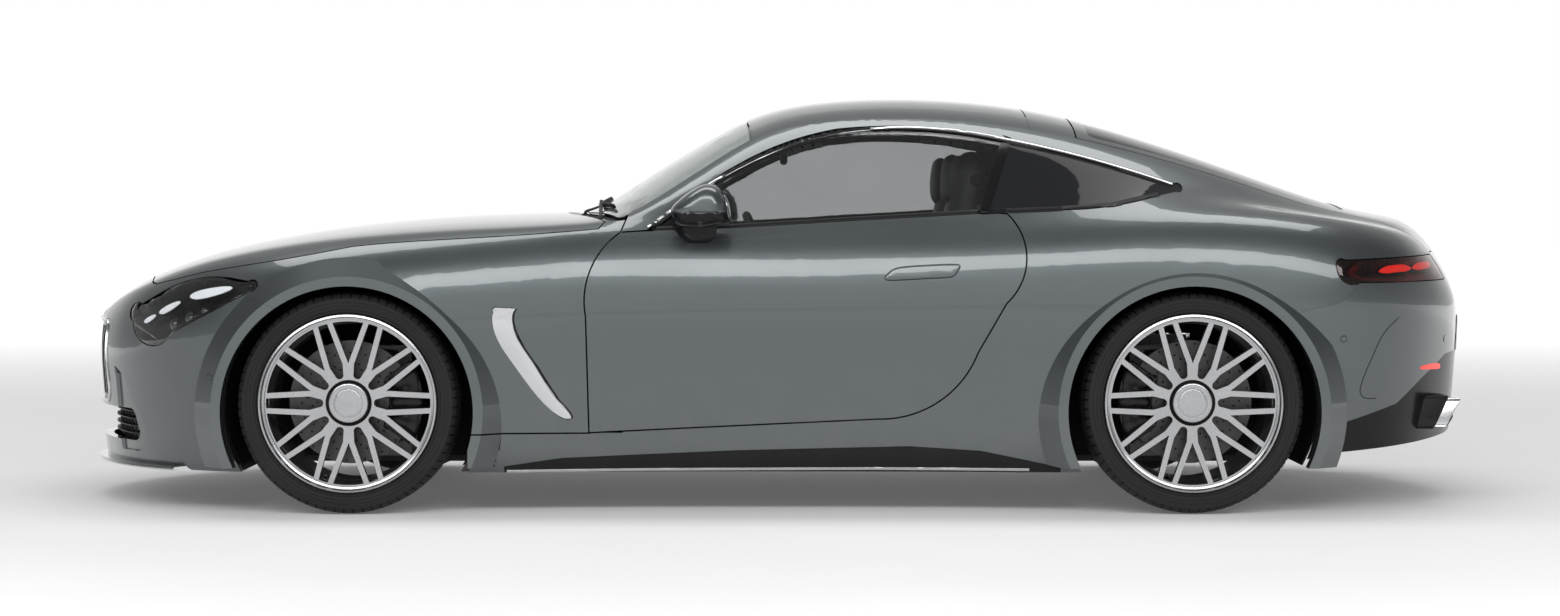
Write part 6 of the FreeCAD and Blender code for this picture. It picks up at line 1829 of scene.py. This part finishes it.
class COUPE_OT_engine(bpy.types.Operator):
    """Engine block with its covers, pipes, radiator, battery box and strut brace"""
    bl_idname = "coupe.engine"
    bl_label = "Engine bay"

    def execute(self, context):
        low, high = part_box("engine")
        top = high[2]
        block = rounded_block((low[0] + 0.02, low[1] + 0.07, low[2]),
                              (high[0] - 0.02, high[1] - 0.07, top - 0.19), 0.03)
        for side in (-1, 1):
            middle = Vector(((low[0] + high[0]) / 2, side * 0.185, top - 0.21))
            rounded_block(middle - HEAD_HALF, middle + HEAD_HALF, 0.025, block,
                          Matrix.Rotation(-side * HEAD_TILT, 3, "X"))
            for k in range(4):
                x = low[0] + 0.13 + 0.145 * k
                tube(curve_through([(x, side * 0.24, top - 0.26), (x + 0.01, side * 0.3, top - 0.32),
                                    (x + 0.05, side * 0.285, low[2] + 0.14)], 5), 0.02, 12, block)
        for z, r in PULLEYS:
            ring = [Vector((low[0] + 0.005, r * math.cos(a),
                            low[2] + z + r * math.sin(a))) for a in turns(32)]
            add_rings(block, [ring, [p + Vector((0.03, 0, 0)) for p in ring]])
        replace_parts(add_piece("engine_block", block, "cast_alloy", "body", 50.0), "engine")
        cover = pillow(((low[0] + 0.05, top - 0.115), (low[0] + 0.35, top - 0.095),
                        (high[0] - 0.05, top - 0.11)),
                       (0.165, 0.185, 0.17), (0.036, 0.04, 0.036), 0.0, 5.0)
        for k in range(7):
            y = -0.105 + 0.035 * k
            rounded_block((low[0] + 0.16, y - 0.004, top - 0.066), (high[0] - 0.16, y + 0.004, top - 0.05),
                          0.003, cover)
        add_piece("engine_cover", cover, "satin_black")
        self.bay()
        return {"FINISHED"}

    def bay(self):
        boxes, pipes, metal = bmesh.new(), bmesh.new(), bmesh.new()
        for low, high, radius in BAY_BOXES:
            rounded_block(low, high, radius, boxes)
        for k in range(6):
            x = -1.28 + 0.045 * k
            rounded_block((x, -0.485, 0.733), (x + 0.012, -0.35, 0.741), 0.003, boxes)
        tube(curve_through(AIR_PIPE), 0.042, 20, pipes)
        tube(curve_through(THROTTLE_PIPE), 0.034, 20, pipes)
        for k in range(14):
            x, y = -1.5 + 0.012 * k, -0.385 + 0.001 * k
            tube([(x, y, 0.652), (x + 0.004, y, 0.652)], 0.045, 20, pipes)
        rounded_block(*RADIATOR, metal)
        for k in range(28):
            z = 0.31 + 0.01 * k
            rounded_block((-1.94, -0.4, z), (-1.934, 0.4, z + 0.0035), 0.001, metal, segments=1)
        tube(STRUT_BRACE, 0.014, 14, metal)
        add_piece("bay_boxes", boxes, "satin_black")
        add_piece("bay_pipes", pipes, "rubber")
        add_piece("bay_metal", metal, "cast_alloy")


class COUPE_OT_linings(bpy.types.Operator):
    """Felt under the hood"""
    bl_idname = "coupe.lid_linings"
    bl_label = "Hood lining"

    def execute(self, context):
        felt = patch(surface_of("hood"), "top", ring_through(whole(HOOD_FELT)), -0.034, 0.006, 0.05, 0.008)
        add_piece("hood_felt", felt, "lining", "hood")
        return {"FINISHED"}


# ---------- settings
class CoupePaint(bpy.types.PropertyGroup):
    colour: bpy.props.FloatVectorProperty(
        name="Paint", description="Base colour of the body paint", subtype="COLOR", size=3,
        default=(0.098, 0.113, 0.118), min=0.0, max=1.0)


class CoupeStage(bpy.types.PropertyGroup):
    distance: bpy.props.FloatProperty(
        name="Distance", description="Camera to the middle plane of the car", unit="LENGTH", default=11.2)
    height: bpy.props.FloatProperty(
        name="Height", description="Camera above the floor", unit="LENGTH", default=0.99)


# ---------- finishes of the frame, and the stage
class COUPE_OT_finishes(bpy.types.Operator):
    """Gives every frame node its finish"""
    bl_idname = "coupe.finishes"
    bl_label = "Finishes"

    def execute(self, context):
        coat_nodes()
        return {"FINISHED"}


FLOOR_HALF = 60.0
FLOOR_GLOW = 0.8                # lifts the far floor towards white
GLOW_REACH = 0.07               # one over the radius that the floor's own shade keeps
SKY_BY_HEIGHT = ((0.0, 1.0), (0.16, 1.0), (0.38, 0.4), (1.0, 0.3))
SKY_BY_LENGTH = ((0.3, 1.0), (0.75, 0.35))
# lights: name, place, aim, width, depth, watts
LIGHTS = (("side_softbox", (0.0, -6.0, 3.9), (0, -0.6, 0.7), 14.0, 1.5, 330.0),
          ("overhead", (0, 0.8, 5.5), (0, 0, 0.4), 8.0, 2.0, 160.0))
CAMERA_X = 0.005
CAMERA_DIP = math.radians(1.844)
LENS_MM = 74.2


def greys(stops):
    return [(place, grey(value)) for place, value in stops]


class COUPE_OT_stage(bpy.types.Operator):
    """Pale floor, soft studio light and the camera"""
    bl_idname = "coupe.stage"
    bl_label = "Stage"

    def execute(self, context):
        self.floor(context.scene)
        self.sky(context.scene)
        for name, place, aim, width, depth, power in LIGHTS:
            light = bpy.data.lights.new(name, "AREA")
            light.shape = "RECTANGLE"
            light.size, light.size_y = width, depth
            light.energy = power
            holder = bpy.data.objects.new(name, light)
            holder.location = place
            holder.rotation_euler = (Vector(aim) - Vector(place)).to_track_quat("-Z", "Y").to_euler()
            context.scene.collection.objects.link(holder)
        context.scene.view_settings.view_transform = "Standard"
        self.camera(context.scene)
        return {"FINISHED"}

    def floor(self, scene):
        mesh = bpy.data.meshes.new("floor")
        corners = [(x * FLOOR_HALF, y * FLOOR_HALF, 0) for x, y in ((-1, -1), (1, -1), (1, 1), (-1, 1))]
        mesh.from_pydata(corners, [], [(0, 1, 2, 3)])
        floor = bpy.data.objects.new("floor", mesh)
        scene.collection.objects.link(floor)
        material, tree, skin = new_material("pale_floor", {"Roughness": 0.7, "Emission Strength": FLOOR_GLOW})
        base = ramp(tree, noise(tree, 0.6, 3.0), greys(((0.3, 0.86), (0.7, 0.9))))
        tree.links.new(base, skin.inputs["Base Color"])
        far = add_node(tree, "TexGradient", gradient_type="SPHERICAL")
        reach = add_node(tree, "Mapping")
        reach.inputs["Scale"].default_value = (GLOW_REACH,) * 3
        tree.links.new(object_place(tree), reach.inputs["Vector"])
        tree.links.new(reach.outputs["Vector"], far.inputs["Vector"])
        glow = ramp(tree, far.outputs["Fac"], greys(((0.0, 1.0), (0.8, 0.12))))
        tree.links.new(glow, skin.inputs["Emission Color"])
        mesh.materials.append(material)

    def sky(self, scene):
        world = bpy.data.worlds.new("studio")
        scene.world = world
        world.use_nodes = True
        tree = world.node_tree
        place = add_node(tree, "TexCoord")
        split = add_node(tree, "SeparateXYZ")
        tree.links.new(place.outputs["Generated"], split.inputs[0])
        tone = ramp(tree, split.outputs["Z"], greys(SKY_BY_HEIGHT))
        ends = ramp(tree, value_math(tree, "ABSOLUTE", split.outputs["X"], 0.0), greys(SKY_BY_LENGTH))
        back = tree.nodes["Background"]
        tree.links.new(colour_mix(tree, 1.0, tone, ends, "MULTIPLY"), back.inputs["Color"])
        back.inputs["Strength"].default_value = 1.0

    def camera(self, scene):
        sizes = scene.coupe_stage
        lens = bpy.data.cameras.new("camera")
        lens.sensor_width = 36.0
        lens.lens = LENS_MM
        lens.clip_end = 200.0
        camera = bpy.data.objects.new("camera", lens)
        camera.location = (CAMERA_X, -sizes.distance, sizes.height)
        camera.rotation_euler = (math.radians(90.0) - CAMERA_DIP, 0.0, 0.0)
        scene.collection.objects.link(camera)
        scene.camera = camera


class COUPE_PT_panel(bpy.types.Panel):
    """Lists the car's groups of pieces"""
    bl_label = "Coupe"
    bl_idname = "COUPE_PT_panel"
    bl_space_type = "VIEW_3D"
    bl_region_type = "UI"
    bl_category = "Coupe"

    def draw(self, context):
        self.layout.prop(context.scene.coupe_paint, "colour")
        self.layout.prop(context.scene.coupe_stage, "distance")
        self.layout.prop(context.scene.coupe_stage, "height")
        for step in STEPS:
            self.layout.operator(step.bl_idname)


STEPS = (COUPE_OT_stage, COUPE_OT_finishes, COUPE_OT_tyres, COUPE_OT_brakes, COUPE_OT_headlamps,
         COUPE_OT_taillamps, COUPE_OT_doors, COUPE_OT_mirrors, COUPE_OT_trim, COUPE_OT_bumpers,
         COUPE_OT_front_seats, COUPE_OT_rear_seats, COUPE_OT_steering, COUPE_OT_dashboard, COUPE_OT_lining,
         COUPE_OT_engine, COUPE_OT_linings)
CLASSES = (CoupePaint, CoupeStage, *STEPS, COUPE_PT_panel)


def register():
    for cls in CLASSES:
        bpy.utils.register_class(cls)
    bpy.types.Scene.coupe_paint = bpy.props.PointerProperty(type=CoupePaint)
    bpy.types.Scene.coupe_stage = bpy.props.PointerProperty(type=CoupeStage)


def unregister():
    del bpy.types.Scene.coupe_stage
    del bpy.types.Scene.coupe_paint
    for cls in reversed(CLASSES):
        bpy.utils.unregister_class(cls)


def main():
    register()
    for step in STEPS:
        area, action = step.bl_idname.split(".")
        getattr(getattr(bpy.ops, area), action)()
    bpy.context.view_layer.update()


if __name__ == "__main__":
    main()
